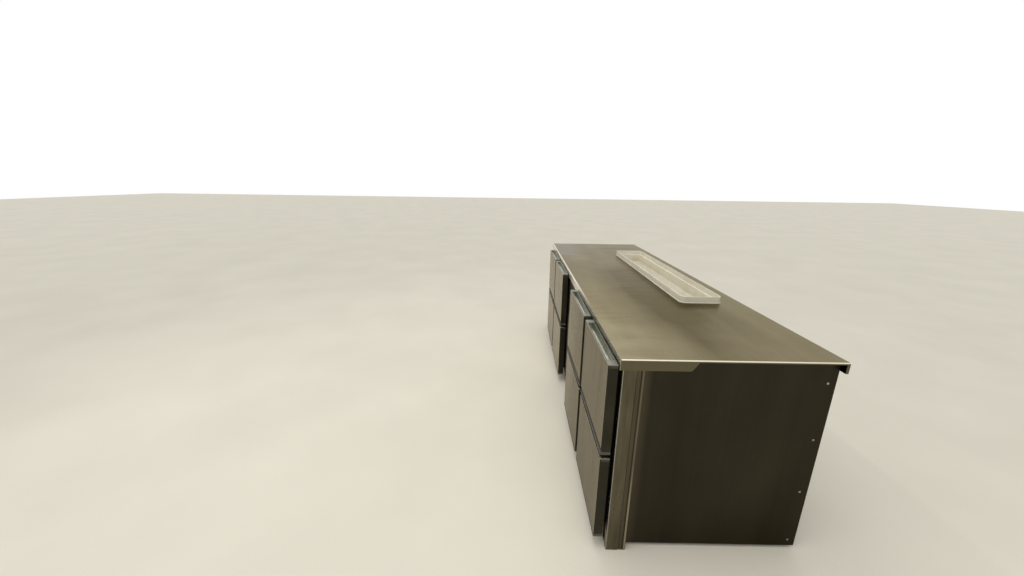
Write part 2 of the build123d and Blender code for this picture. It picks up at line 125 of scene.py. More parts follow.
@dataclass(frozen=True)
class Zone:
    """Box in which a finish turns to another colour, such as a painted highlight along an edge.

    Each axis has its lowest and highest place in metres, or None where it has no bounds. The border is
    equally soft along every axis, unless X or Z has its own softness.
    """

    colour: Colour
    x: Span | None = None
    y: Span | None = None
    z: Span | None = None
    soft: float = 0.0008
    soft_x: float | None = None
    soft_z: float | None = None
    strength: float = 1.0


class NodeGraph:
    """A node tree with short ways to add its nodes."""

    def __init__(self, tree: bpy.types.NodeTree) -> None:
        """Work on a tree."""
        self.tree = tree

    def node(self, kind: str, inputs: dict | None = None, **settings: object) -> bpy.types.Node:
        """Add a node.

        Args:
            kind: the node's type.
            inputs: sockets by name or index, each a value or an output socket.
            settings: properties of the node.

        Returns:
            The node.
        """
        node = self.tree.nodes.new(kind)
        for key, value in settings.items():
            setattr(node, key, value)
        for key, value in (inputs or {}).items():
            if isinstance(value, Socket):
                self.tree.links.new(value, node.inputs[key])
            else:
                node.inputs[key].default_value = value
        return node

    def out(self, kind: str, inputs: dict | None = None, **settings: object) -> Socket:
        """Add a node in the same way and return its first output."""
        return self.node(kind, inputs, **settings).outputs[0]

    def calc(self, operation: str, first: Value, second: Value = 0.0) -> Socket:
        """Return two values put through one Math node."""
        return self.out("ShaderNodeMath", {0: first, 1: second}, operation=operation)

    def times(self, first: Value, second: Value) -> Socket:
        """Return the product of two values."""
        return self.calc("MULTIPLY", first, second)

    def plus(self, *values: Value) -> Socket:
        """Return the sum of several values."""
        return reduce(partial(self.calc, "ADD"), values)

    def vector(self, x: Value = 0.0, y: Value = 0.0, z: Value = 0.0) -> Socket:
        """Return a vector of three values."""
        return self.out("ShaderNodeCombineXYZ", {0: x, 1: y, 2: z})

    def split(self, vector: Socket) -> bpy.types.NodeOutputs:
        """Return a vector's three values."""
        return self.node("ShaderNodeSeparateXYZ", {0: vector}).outputs

    def length(self, vector: Socket) -> Socket:
        """Return a vector's length."""
        return self.node("ShaderNodeVectorMath", {0: vector}, operation="LENGTH").outputs["Value"]


class Bench(NodeGraph):
    """A material under construction, whose patterns follow Object coordinates."""

    def __init__(self, name: str) -> None:
        """Start a material.

        Args:
            name: its name.
        """
        self.material = bpy.data.materials.new(name)
        self.material.use_nodes = True
        super().__init__(self.material.node_tree)
        self.shader = next(n for n in self.tree.nodes if n.type == "BSDF_PRINCIPLED")
        self.place = self.node("ShaderNodeTexCoord").outputs["Object"]

    def fix(self, **values: object) -> None:
        """Set constants on the shader's own sockets, which are named with underscores for spaces."""
        for key, value in values.items():
            self.shader.inputs[key.replace("_", " ")].default_value = value

    def wire(self, name: str, socket: Socket) -> None:
        """Lead a pattern to one of the shader's sockets."""
        self.tree.links.new(socket, self.shader.inputs[name])

    def mapped(self, scale: Triple, turn: Triple = STILL, move: Triple = STILL) -> Socket:
        """Return Object coordinates scaled, turned in radians and moved."""
        inputs = {"Vector": self.place, "Scale": scale, "Rotation": turn, "Location": move}
        return self.out("ShaderNodeMapping", inputs)

    def noise(self, scale: float, stretch: Triple = EVEN, detail: float = 3.0, distortion: float = 0.0,
              turn: Triple = STILL) -> Socket:
        """Return noise of about 0.3 to 0.7, by its repeats per metre and a further factor on each axis."""
        inputs = {0: self.mapped(stretch, turn), "Scale": scale, "Detail": detail, "Distortion": distortion}
        return self.out("ShaderNodeTexNoise", inputs)

    def cells(self, scale: float) -> Socket:
        """Return a random value of 0 to 1 for each cell of a pattern with so many cells per metre."""
        pattern = self.node("ShaderNodeTexVoronoi", {"Vector": self.mapped(EVEN), "Scale": scale})
        return self.out("ShaderNodeSeparateColor", {0: pattern.outputs["Color"]})

    def ramp(self, value: Socket, start: float, end: float, low: float = 0.0, high: float = 1.0) -> Socket:
        """Return a value carried from start and end to low and high, and held beyond them."""
        return self.out("ShaderNodeMapRange", {0: value, 1: start, 2: end, 3: low, 4: high})

    def spread(self, noise: Socket, low: float = 0.0, high: float = 1.0) -> Socket:
        """Return noise carried from its usual span to low and high."""
        return self.ramp(noise, *NOISE_SPAN, low, high)

    def weigh(self, *parts: tuple[Socket, float]) -> Socket:
        """Return the sum of several values, each given with its weight."""
        return self.plus(*(self.times(value, weight) for value, weight in parts))

    def axis(self, index: int) -> Socket:
        """Return one Object coordinate, 0 for X to 2 for Z."""
        return self.split(self.place)[index]

    def patch(self, centre: Triple, reach: Triple) -> Socket:
        """Return a soft spot: 1 at its centre and 0 from its reach on, given in metres on each axis."""
        move = tuple(-c / r for c, r in zip(centre, reach))
        return self.ramp(self.length(self.mapped(tuple(1.0 / r for r in reach), move=move)), 1.0, 0.0)

    def inside(self, zone: Zone) -> Socket:
        """Return a zone's share: its strength inside, fading to 0 over its soft border.

        Args:
            zone: the zone, bounded on at least one axis.

        Returns:
            The value.
        """
        shares = []
        for index, (span, own) in enumerate(((zone.x, zone.soft_x), (zone.y, None), (zone.z, zone.soft_z))):
            if span is not None:
                soft = zone.soft if own is None else own
                half = (span[1] - span[0]) / 2
                away = self.calc("ABSOLUTE", self.calc("SUBTRACT", self.axis(index), span[0] + half))
                shares.append(self.ramp(away, half + soft, half))
        return self.times(reduce(self.times, shares), zone.strength)

    def mix(self, factor: Socket, first: Socket | Colour, last: Socket | Colour) -> Socket:
        """Return a colour that runs from the first at 0 to the last at 1."""
        ends = {i: (*c, 1.0) if isinstance(c, tuple) else c for i, c in ((6, first), (7, last))}
        return self.node("ShaderNodeMix", {0: factor, **ends}, data_type="RGBA").outputs[2]

    def brush(self, grain: Grain) -> None:
        """Stretch the gloss across the brushed grain."""
        across = Grain.DEEP if grain is Grain.ALONG else Grain.ALONG
        self.wire("Tangent", self.vector(*across.value))


class Surface(NamedTuple):
    """Patterns of a finish: tone and relief from 0 to 1, roughness, and the relief's depth in metres."""

    tone: Socket
    rough: Socket | None = None
    relief: Socket | None = None
    depth: float = 0.0


@dataclass(frozen=True)
class Finish:
    """A finish whose colour runs from the first at tone 0 to the last at tone 1, under its zones' colours.

    In the kinds of finish, a scale is in repeats per metre, a form a further factor on each axis, a turn in
    radians, a span the part of a noise that counts, a run a ramp's start, end, low and high, and a depth in
    metres. Shares are the weights of patterns laid over each other.
    """

    name: str
    first: Colour
    last: Colour
    zones: tuple[Zone, ...] = field(default=(), kw_only=True)

    def pattern(self, bench: Bench) -> Surface:
        """Return the finish's patterns; each kind of finish has its own."""
        raise NotImplementedError

    def build(self) -> Material:
        """Make the material.

        Returns:
            The material.
        """
        bench = Bench(self.name)
        surface = self.pattern(bench)
        colour = bench.mix(surface.tone, self.first, self.last)
        for zone in self.zones:
            colour = bench.mix(bench.inside(zone), colour, zone.colour)
        bench.wire("Base Color", colour)
        if surface.rough is not None:
            bench.wire("Roughness", surface.rough)
        if surface.relief is not None:
            inputs = {"Height": surface.relief, "Distance": surface.depth, "Strength": 1.0}
            bench.wire("Normal", bench.out("ShaderNodeBump", inputs))
        return bench.material


@dataclass(frozen=True)
class BrushedSteel(Finish):
    """Stainless sheet with a fine brushed grain, soft bands, wiped smears and a few scratches.

    Its tone has a level and a contrast, painted reflections as soft spots by centre, reach and amount, and
    painted light slopes by axis, start, end and amount. A draw is the share of a pattern's scale that is left
    along the grain. The wipes blot the painted reflections. The roughness is that of the metal where its
    patterns add up to their middle.
    """

    grain: Grain
    roughness: float
    grain_lines: float = 900.0
    band_scale: float = 9.0
    band_share: float = 0.3
    smear_scale: float = 1.9
    wipe_share: float = 0.08
    stretch: float = 0.55
    edge_tint: Colour = (0.8, 0.78, 0.74)
    weave: float = 0.10
    level: float = 0.5
    contrast: float = 1.0
    painted_reflections: tuple[tuple[Triple, Triple, float], ...] = ()
    painted_light_slopes: tuple[tuple[int, float, float, float], ...] = ()
    hairs_per_line: float = 7.0
    hair_draw: float = 0.006
    fine_draw: float = 0.01
    band_draw: float = 0.12
    wipes_per_smear: float = 5.0
    wipe_form: Triple = (1.0, 0.3, 0.6)
    wipe_turn: Triple = (0.0, 0.0, 0.5)
    scratch_scale: float = 210.0
    scratch_form: Triple = (0.04, 1.0, 1.0)
    scratch_turn: Triple = (0.2, 0.1, 0.7)
    scratch_span: Span = (0.72, 0.76)
    scratch_light: float = 0.12
    blot_run: Run = (0.25, 0.6, 0.6, 1.0)
    rough_shares: Triple = (0.05, 0.07, 0.08)
    rough_middle: float = 0.09
    relief_shares: Pair = (0.9, 0.1)
    relief_depth: float = 0.000015

    def pattern(self, bench: Bench) -> Surface:
        """Lay hair lines, bands, smears, wipes, scratches, painted reflections and painted light slopes.

        Args:
            bench: the material under construction.

        Returns:
            The patterns.
        """
        hair = bench.noise(self.grain_lines, self.grain.drawn(self.hair_draw), detail=2.0)
        fine = bench.noise(self.grain_lines / self.hairs_per_line, self.grain.drawn(self.fine_draw))
        band = bench.noise(self.band_scale, self.grain.drawn(self.band_draw), detail=2.0)
        smear = bench.noise(self.smear_scale, distortion=0.5)
        wipe = bench.noise(
            self.smear_scale * self.wipes_per_smear, self.wipe_form, detail=4.0, distortion=1.2,
            turn=self.wipe_turn)
        scratch = bench.noise(self.scratch_scale, self.scratch_form, detail=1.0, turn=self.scratch_turn)
        scratch = bench.ramp(scratch, *self.scratch_span)
        cloud = 1.0 - self.wipe_share - self.band_share - 2 * self.weave
        tone = bench.weigh((hair, self.weave), (fine, self.weave), (band, self.band_share), (smear, cloud),
                           (wipe, self.wipe_share))
        half = self.contrast / 2
        tone = bench.spread(tone, self.level - half, self.level + half)
        tone = bench.plus(tone, bench.times(scratch, self.scratch_light * self.contrast))
        # Painted reflections: soft patches that lighten or darken the tone by their amount.
        for centre, reach, strength in self.painted_reflections:
            soft = bench.times(bench.patch(centre, reach), bench.ramp(wipe, *self.blot_run))
            tone = bench.plus(tone, bench.times(soft, strength))
        # Painted light: tone that rises or falls along an axis.
        for index, start, end, amount in self.painted_light_slopes:
            tone = bench.plus(tone, bench.ramp(bench.axis(index), start, end, 0.0, amount))
        rough = bench.weigh(*zip((bench.spread(smear), bench.spread(wipe), hair), self.rough_shares))
        bench.fix(Metallic=1.0, Anisotropic=self.stretch, Specular_Tint=(*self.edge_tint, 1.0))
        bench.brush(self.grain)
        relief = bench.weigh(*zip((hair, scratch), self.relief_shares))
        return Surface(bench.ramp(tone, 0.0, 1.0), bench.plus(rough, self.roughness - self.rough_middle),
                       relief, self.relief_depth)


@dataclass(frozen=True)
class PlatedSteel(Finish):
    """Zinc-plated steel with a faint crystal pattern; its tone's shares are crystals and grime."""

    crystal_scale: float = 90.0
    grime_scale: float = 9.0
    grime_span: Span = (0.35, 0.65)
    tone_shares: Pair = (0.35, 0.65)
    rough_run: Run = (0.2, 0.8, 0.28, 0.46)
    relief_depth: float = 0.00008

    def pattern(self, bench: Bench) -> Surface:
        """Lay crystals over grime.

        Args:
            bench: the material under construction.

        Returns:
            The patterns.
        """
        crystal = bench.cells(self.crystal_scale)
        grime = bench.noise(self.grime_scale, detail=5.0, distortion=0.5)
        tone = bench.weigh(*zip((crystal, bench.ramp(grime, *self.grime_span)), self.tone_shares))
        rough = bench.ramp(bench.weigh((crystal, 0.5), (grime, 0.5)), *self.rough_run)
        bench.fix(Metallic=1.0)
        return Surface(tone, rough, grime, self.relief_depth)


@dataclass(frozen=True)
class DrawnAluminium(Finish):
    """Drawn channel metal with fine lines along its length."""

    line_scale: float = 900.0
    line_form: Triple = (0.01, 1.0, 1.0)
    cloud_scale: float = 14.0
    cloud_form: Triple = (0.4, 1.0, 1.0)
    tone_span: Span = (0.36, 0.62)
    rough_ends: Span = (0.26, 0.42)
    relief_depth: float = 0.00005

    def pattern(self, bench: Bench) -> Surface:
        """Lay drawn lines over a soft cloud.

        Args:
            bench: the material under construction.

        Returns:
            The patterns.
        """
        line = bench.noise(self.line_scale, self.line_form, detail=2.0)
        cloud = bench.noise(self.cloud_scale, self.cloud_form, detail=4.0, distortion=0.4)
        tone = bench.ramp(bench.weigh((line, 0.5), (cloud, 0.5)), *self.tone_span)
        bench.fix(Metallic=1.0)
        return Surface(tone, bench.spread(cloud, *self.rough_ends), line, self.relief_depth)


@dataclass(frozen=True)
class MouldedPlastic(Finish):
    """Moulded plastic with a fine leathery skin; its first colour is clean and its last one worn, and where
    given, the tone also darkens towards the bottom.

    Its roughness reaches down and up from the given one, and its relief's shares are skin and scuffs.
    """

    roughness: float
    skin_scale: float = 1400.0
    skin_depth: float = 0.00006
    wear: float = 0.5
    gloss: float = 0.5
    # Heights between which the tone darkens towards the bottom, if any.
    darker_below: Span | None = None
    cloud_scale: float = 7.0
    worn_span: Span = (0.42, 0.72)
    scuff_scale: float = 170.0
    scuff_form: Triple = (0.12, 1.0, 0.6)
    scuff_turn: Triple = (0.4, 0.2, 0.9)
    scuff_span: Span = (0.6, 0.72)
    scuff_share: float = 0.3
    darker_below_tone: float = 0.45
    rough_reach: Span = (-0.06, 0.1)
    relief_shares: Pair = (0.7, 0.3)

    def pattern(self, bench: Bench) -> Surface:
        """Lay scuffs, worn patches and any darkening towards the bottom over the skin.

        Args:
            bench: the material under construction.

        Returns:
            The patterns.
        """
        skin = bench.noise(self.skin_scale, detail=2.0)
        cloud = bench.noise(self.cloud_scale, detail=5.0, distortion=0.7)
        scuff = bench.noise(self.scuff_scale, self.scuff_form, detail=2.0, turn=self.scuff_turn)
        scuff = bench.ramp(scuff, *self.scuff_span)
        worn = bench.times(bench.ramp(cloud, *self.worn_span), self.wear)
        tone = bench.plus(worn, bench.times(scuff, self.scuff_share * self.wear))
        # Darker towards the bottom, between the two given heights.
        if self.darker_below is not None:
            low, high = self.darker_below
            tone = bench.plus(tone, bench.ramp(bench.axis(2), high, low, 0.0, self.darker_below_tone))
        rough = bench.spread(cloud, *(self.roughness + shift for shift in self.rough_reach))
        bench.fix(Specular_IOR_Level=self.gloss)
        relief = bench.weigh(*zip((skin, scuff), self.relief_shares))
        return Surface(bench.ramp(tone, 0.0, 1.0), rough, relief, self.skin_depth)


@dataclass(frozen=True)
class PaintedFace(Finish):
    """Satin paint with a slight orange-peel skin and dust, which makes it rougher."""

    roughness: float
    peel_scale: float = 420.0
    dust_scale: float = 16.0
    dust_span: Span = (0.4, 0.75)
    dust_roughness: float = 0.12
    relief_depth: float = 0.00009

    def pattern(self, bench: Bench) -> Surface:
        """Lay dust over the skin.

        Args:
            bench: the material under construction.

        Returns:
            The patterns.
        """
        peel = bench.noise(self.peel_scale, detail=1.0)
        dust = bench.noise(self.dust_scale, detail=5.0, distortion=0.3)
        rough = bench.spread(dust, self.roughness, self.roughness + self.dust_roughness)
        return Surface(bench.ramp(dust, *self.dust_span), rough, peel, self.relief_depth)


@dataclass(frozen=True)
class SmokedWindow(Finish):
    """Dark glossy window with a faint smudge."""

    smudge_scale: float = 60.0
    smudge_span: Span = (0.4, 0.7)
    rough_ends: Span = (0.06, 0.2)

    def pattern(self, bench: Bench) -> Surface:
        """Return a smudge that is also less glossy."""
        smudge = bench.noise(self.smudge_scale, detail=4.0, distortion=1.0)
        return Surface(bench.ramp(smudge, *self.smudge_span),
                       bench.ramp(smudge, *self.smudge_span, *self.rough_ends))


@dataclass(frozen=True)
class PaleFloor(Finish):
    """Plain pale floor with a very faint speckle."""

    speck_scale: float = 240.0
    cloud_scale: float = 1.3
    tone_span: Span = (0.38, 0.62)
    roughness: float = 0.65
    relief_depth: float = 0.0001

    def pattern(self, bench: Bench) -> Surface:
        """Lay a speckle over a wide cloud.

        Args:
            bench: the material under construction.

        Returns:
            The patterns.
        """
        speck = bench.noise(self.speck_scale, detail=2.0)
        mixed = bench.weigh((speck, 0.5), (bench.noise(self.cloud_scale, detail=4.0), 0.5))
        bench.fix(Roughness=self.roughness)
        return Surface(bench.ramp(mixed, *self.tone_span), relief=speck, depth=self.relief_depth)


class Finishes:
    """Every finish of the counter, by the record's slot, by CAD node or by its own name."""

    def __init__(self) -> None:
        """Build all materials once."""
        self.by_slot = {
            "worktop_steel": self.worktop().build(),
            # Painted light on the fronts: lighter towards the far end.
            "front_steel": BrushedSteel(
                "front_upright_steel", (0.222, 0.198, 0.153), (0.680, 0.626, 0.532), Grain.UPRIGHT, 0.28,
                band_scale=14.0, band_share=0.42, edge_tint=(0.55, 0.53, 0.50), level=0.20, contrast=0.30,
                painted_light_slopes=((0, 0.76, 0.36, 0.32), (0, 0.30, -0.30, 0.24))).build(),
            "panel_steel": BrushedSteel(
                "panel_dull_steel", (0.110, 0.101, 0.083), (0.185, 0.172, 0.146), Grain.UPRIGHT, 0.36,
                edge_tint=(0.6, 0.58, 0.52)).build(),
            "box_steel": BrushedSteel(
                "drawer_box_steel", (0.33, 0.32, 0.29), (0.45, 0.44, 0.41), Grain.DEEP, 0.28).build(),
            "zinc_steel": PlatedSteel("zinc_plate", (0.30, 0.31, 0.32), (0.48, 0.49, 0.51)).build(),
            "dark_trim": self.trim().build(),
            "seal_rubber": MouldedPlastic(
                "seal_black_rubber", (0.008, 0.008, 0.008), (0.020, 0.020, 0.019), 0.65, wear=0.35,
                gloss=0.12).build(),
            # The well's pan darkens towards its bottom.
            "white_plastic": MouldedPlastic(
                "well_cream_plastic", (0.60, 0.56, 0.44), (0.45, 0.405, 0.295), 0.34, skin_scale=700.0,
                skin_depth=0.00004, wear=0.45, darker_below=(0.79, 0.84)).build(),
            "machine_paint": PaintedFace(
                "machine_black_paint", (0.015, 0.015, 0.016), (0.045, 0.044, 0.042), 0.4).build(),
        }
        # Painted shade on the near end panel and the top board.
        shade = self.end_shade().build()
        self.by_node = {"near_end_panel": shade, "top_board": shade}
        self.post = self.near_post().build()
        self.channel = self.grip_channel().build()
        self.cast_end = DrawnAluminium("grip_end_metal", (0.17, 0.17, 0.135), (0.26, 0.26, 0.21)).build()
        self.edge_cap = MouldedPlastic(
            "edge_cap_plastic", (0.042, 0.042, 0.026), (0.078, 0.078, 0.050), 0.40, gloss=0.25).build()
        self.fastener = PlatedSteel("screw_head_steel", (0.24, 0.23, 0.21), (0.42, 0.41, 0.38)).build()
        self.sealant = MouldedPlastic("sealant_bead", (0.50, 0.48, 0.41), (0.36, 0.33, 0.25), 0.45).build()
        self.window = SmokedWindow("display_window", (0.008, 0.010, 0.012), (0.02, 0.022, 0.024)).build()
        self.key = MouldedPlastic("key_grey_plastic", (0.16, 0.16, 0.15), (0.24, 0.24, 0.22), 0.5).build()
        self.floor = PaleFloor("pale_floor", (0.61, 0.575, 0.475), (0.67, 0.632, 0.525)).build()

    @staticmethod
    def worktop() -> BrushedSteel:
        """Describe the worktop's steel, with painted highlights on its top edges, painted reflections on its
        top and front lip, and painted shade on its near lip.

        Returns:
            The finish.
        """
        low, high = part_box("worktop_sheet")
        edge = 0.0035
        below = (low.z, high.z - edge)
        rim = (high.z - edge, high.z + MM)
        front = (low.y - MM, low.y + MM)
        return BrushedSteel(
            "worktop_satin_steel", (0.100, 0.080, 0.046), (0.364, 0.320, 0.214), Grain.ALONG, 0.28,
            weave=0.05, edge_tint=(0.74, 0.70, 0.60), level=0.42, contrast=0.60,
            # Painted reflections on the top: dark patches in the middle, bright ones at the near front corner
            # and far end.
            painted_reflections=(
                ((0.55, 0.02, 0.85), (0.95, 0.30, 0.5), -0.52),
                ((0.20, -0.02, 0.85), (0.80, 0.30, 0.5), -0.30),
                ((1.00, -0.40, 0.85), (1.00, 0.38, 0.5), 0.62),
                ((-0.55, -0.24, 0.85), (0.20, 0.12, 0.5), 0.40),
            ),
            # Painted light: lighter at the near end, darker towards the far end.
            painted_light_slopes=((0, 0.95, 1.20, 0.10), (0, 0.10, -0.60, -0.20)),
            zones=(
                # Painted reflection: a cool grey tint over the far end of the top.
                Zone((0.215, 0.205, 0.205), x=(-2.0, -0.70), y=(-0.60, -0.24), soft=0.10, strength=0.8),
                # Painted shade on the near lip.
                Zone((0.134, 0.117, 0.074), x=(high.x - MM, high.x + MM), z=below),
                # Painted reflection on the front lip, rising to white towards the far end.
                Zone((0.560, 0.540, 0.500), y=front, z=below),
                Zone((1.000, 0.985, 0.960), x=(-2.0, 0.30), y=front, z=below, soft_x=0.6),
                # Painted highlights along the top edges at the near end and the front, brightest towards the
                # far end.
                Zone((0.760, 0.710, 0.560), x=(high.x - edge, high.x + MM), z=rim),
                Zone((0.300, 0.280, 0.220), y=(low.y - MM, low.y + edge), z=rim),
                Zone((0.950, 0.930, 0.900), x=(-2.0, 0.20), y=(low.y - MM, low.y + 2 * edge), z=rim,
                     soft=0.003, soft_x=0.5),
            ))

    @staticmethod
    def end_shade() -> BrushedSteel:
        """Return the near end's steel, darkened as painted shade, with a painted lit strip beside the post.
        """
        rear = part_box("near_end_post")[1].y
        # Painted shade: a darker copy of the panel steel.
        return BrushedSteel(
            "end_panel_dark_steel", (0.030, 0.026, 0.018), (0.058, 0.050, 0.036), Grain.UPRIGHT, 0.42,
            edge_tint=(0.4, 0.38, 0.34),
            # Painted light: a lighter strip beside the post.
            zones=(Zone((0.085, 0.074, 0.052), y=(rear - 0.02, rear + 0.004), soft=0.035),))

    @staticmethod
    def near_post() -> BrushedSteel:
        """Describe the near post's steel, with painted highlights on its front edge and rear bead, and
        painted shade on its set-back strip and in its rear pressed line.

        Returns:
            The finish.
        """
        low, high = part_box("near_end_post")
        bead = (high.y - 0.008, high.y - 0.004)
        return BrushedSteel(
            "post_folded_steel", (0.070, 0.060, 0.040), (0.158, 0.141, 0.100), Grain.UPRIGHT, 0.24,
            band_scale=40.0, band_share=0.5, weave=0.05,
            zones=(
                # Painted shade over the set-back strip between the pressed lines.
                Zone((0.075, 0.066, 0.048), y=(low.y + 0.051, high.y - 0.011), soft=0.001, strength=0.6),
                # Painted highlight along the front edge.
                Zone((0.330, 0.310, 0.270), y=(low.y - MM, low.y + 0.0025), soft=0.0015),
                # Painted shade in the rear pressed line.
                Zone((0.048, 0.041, 0.028), y=(low.y + 0.0665, low.y + 0.0705), soft=0.001),
                # Painted highlight on the rear bead, brighter towards its foot.
                Zone((0.145, 0.130, 0.094), y=bead, soft=0.002),
                Zone((0.330, 0.295, 0.215), y=bead, z=(-0.1, 0.22), soft=0.002, soft_z=0.20),
            ))

    @staticmethod
    def grip_channel() -> DrawnAluminium:
        """Return the grip channel's metal, with painted shade on its rims and two painted highlight lines
        along the front one.
        """
        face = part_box("front_1_upper")[0].y
        return DrawnAluminium(
            "grip_channel_metal", (0.34, 0.36, 0.29), (0.50, 0.52, 0.44),
            zones=(
                # Painted shade on the front rim, then two painted highlight lines along it.
                Zone((0.070, 0.066, 0.052), y=(face, face + 0.0060), soft=0.0003),
                Zone((0.560, 0.525, 0.420), y=(face - 0.0005, face + 0.0012), soft=0.0002),
                Zone((0.460, 0.440, 0.350), y=(face + 0.0047, face + 0.0060), soft=0.0002),
                # Painted shade on the rear rim.
                Zone((0.150, 0.155, 0.120), y=(face + 0.0320, face + 0.0400), soft=0.001),
            ))

    @staticmethod
    def trim() -> MouldedPlastic:
        """Describe the fronts' dark edge plastic, with a painted highlight that makes its bottom bar paler.

        Returns:
            The finish.
        """
        bar = 0.015
        feet = [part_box(f"trim_1_{row}")[0].z for row in ROWS]
        return MouldedPlastic(
            "dark_edge_plastic", (0.022, 0.019, 0.011), (0.042, 0.037, 0.025), 0.48, gloss=0.10,
            # Painted highlight on each bottom bar, as lit from above.
            zones=tuple(Zone((0.085, 0.082, 0.066), z=(foot, foot + bar), soft=0.0005) for foot in feet))

    def for_node(self, row: dict) -> Material:
        """Return the finish of one CAD node, given by its row in the record: its own or that of its slot."""
        return self.by_node.get(row["node"], self.by_slot[row["material_slot"]])


class Solid:
    """A mesh under construction, put together from closed forms."""

    def __init__(self) -> None:
        """Start with no points."""
        self.points: list[Vector] = []
        self.faces: list[list[int]] = []

    def loft(self, rings: Sequence[Ring], capped: bool = True) -> Self:
        """Add a skin through rings of equally many points.

        Args:
            rings: closed rings in order.
            capped: closes both ends with a face; otherwise the last ring joins the first.

        Returns:
            The solid itself.
        """
        first = len(self.points)
        count = len(rings[0])
        for ring in rings:
            self.points.extend(ring)
        for level in range(len(rings) - int(capped)):
            low = first + level * count
            high = first + (level + 1) % len(rings) * count
            for i in range(count):
                j = (i + 1) % count
                self.faces.append([low + i, low + j, high + j, high + i])
        if capped:
            last = first + (len(rings) - 1) * count
            self.faces.append([first + i for i in reversed(range(count))])
            self.faces.append([last + i for i in range(count)])
        return self

    def prism(self, outline: Outline, sweep: Sweep, start: float, end: float) -> Self:
        """Add an outline in metres swept along an axis from start to end, and return the solid itself."""
        return self.loft([[sweep.place(corner, along) for corner in outline] for along in (start, end)])

    def mesh(self, name: str) -> Mesh:
        """Make the mesh, its faces outwards and its flats crisp.

        Args:
            name: the mesh's name.

        Returns:
            The mesh.
        """
        mesh = bpy.data.meshes.new(name)
        mesh.from_pydata(self.points, [], self.faces)
        work = bmesh.new()
        work.from_mesh(mesh)
        bmesh.ops.remove_doubles(work, verts=work.verts, dist=MERGE_DISTANCE)
        bmesh.ops.recalc_face_normals(work, faces=work.faces)
        work.to_mesh(mesh)
        work.free()
        crisp(mesh)
        return mesh


def crisp(mesh: Mesh) -> None:
    """Shade curves smooth and keep real edges sharp."""
    mesh.shade_smooth()
    mesh.set_sharp_from_angle(angle=SMOOTH_ANGLE)


def rounded_ring(centre: Vector, length: float, width: float, radii: Sequence[float], steps: int) -> Ring:
    """Make a level rounded rectangle.

    Args:
        centre: its middle.
        length: size along X.
        width: size along Y.
        radii: one for each corner, counter-clockwise from the corner at +X and +Y.
        steps: segments of each corner.

    Returns:
        The ring's points, counter-clockwise.
    """
    points = []
    for quarter, (radius, sx, sy) in enumerate(zip(radii, (1, -1, -1, 1), (1, 1, -1, -1))):
        x = centre.x + sx * (length / 2 - radius)
        y = centre.y + sy * (width / 2 - radius)
        for step in range(steps + 1):
            angle = (quarter + step / steps) * math.pi / 2
            points.append(Vector((x + radius * math.cos(angle), y + radius * math.sin(angle), centre.z)))
    return points


def stepped(centre: Vector, size: Pair, radii: Sequence[float], section: Outline, steps: int,
            least: float = 0.0) -> list[Ring]:
    """Make level rounded rectangles above each other.

    Args:
        centre: the middle of one at inset 0 and height 0.
        size: its length and width in metres.
        radii: its corner radii in millimetres, counter-clockwise from the corner at +X and +Y.
        section: inset and height of each rectangle in millimetres.
        steps: segments of each corner.
        least: the radius in millimetres that no corner falls below.

    Returns:
        One ring for each step of the section.
    """
    rings = []
    for inset, height in section:
        length, width = (side - 2 * inset * MM for side in size)
        each = [max(radius - inset, least) * MM for radius in radii]
        rings.append(rounded_ring(centre + Vector((0.0, 0.0, height * MM)), length, width, each, steps))
    return rings


def turned(section: Outline, steps: int, sweep: Sweep = Sweep.Z, centre: Pair = (0.0, 0.0),
           base: float = 0.0) -> list[Ring]:
    """Make rings round an axis.

    Args:
        section: radius and height of each ring in millimetres.
        steps: points of each ring.
        sweep: the axis.
        centre: where the axis crosses the other two, in metres.
        base: where height 0 lies on the axis, in metres.

    Returns:
        One ring for each step of the section.
    """
    turns = [math.tau * i / steps for i in range(steps)]
    unit = [(math.cos(turn), math.sin(turn)) for turn in turns]
    return [[sweep.place((centre[0] + radius * MM * a, centre[1] + radius * MM * b), base + height * MM)
             for a, b in unit] for radius, height in section]


def upright(rings: Sequence[Ring], face: float = 0.0) -> list[Ring]:
    """Return level rings turned so that their height points to the front, from a face on Y."""
    return [[Vector((p.x, face - p.z, p.y)) for p in ring] for ring in rings]


def millimetres(outline: Outline, origin: Pair = (0.0, 0.0), side: int = 1) -> list[Pair]:
    """Return an outline of millimetres in metres from an origin, mirrored if its side is -1."""
    return [(origin[0] + side * a * MM, origin[1] + b * MM) for a, b in outline]


def filleted(corners: Corners, steps: int = 4) -> list[Pair]:
    """Round every corner of an outline by its own radius.

    Args:
        corners: two coordinates and a radius each, in order; a radius of 0 keeps the corner sharp.
        steps: segments of each round corner.

    Returns:
        The outline's points in order.
    """
    points = []
    for i, (a, b, radius) in enumerate(corners):
        here = Vector((a, b))
        back = (Vector(corners[i - 1][:2]) - here).normalized()
        ahead = (Vector(corners[(i + 1) % len(corners)][:2]) - here).normalized()
        half = math.acos(max(-1.0, min(1.0, back.dot(ahead)))) / 2
        if radius == 0.0 or half > STRAIGHT:
            points.append((a, b))
            continue
        centre = here + (back + ahead).normalized() * (radius / math.sin(half))
        start = here + back * (radius / math.tan(half)) - centre
        turn = math.copysign(math.pi - 2 * half, ahead.x * back.y - ahead.y * back.x)
        for step in range(steps + 1):
            angle = turn * step / steps
            x = start.x * math.cos(angle) - start.y * math.sin(angle)
            y = start.x * math.sin(angle) + start.y * math.cos(angle)
            points.append((centre.x + x, centre.y + y))
    return points


def placed(name: str, data: bpy.types.ID) -> bpy.types.Object:
    """Make an object of a mesh, lamp or camera and link it to the scene.

    Args:
        name: the object's name.
        data: what it shows.

    Returns:
        The object.
    """
    thing = bpy.data.objects.new(name, data)
    bpy.context.scene.collection.objects.link(thing)
    return thing


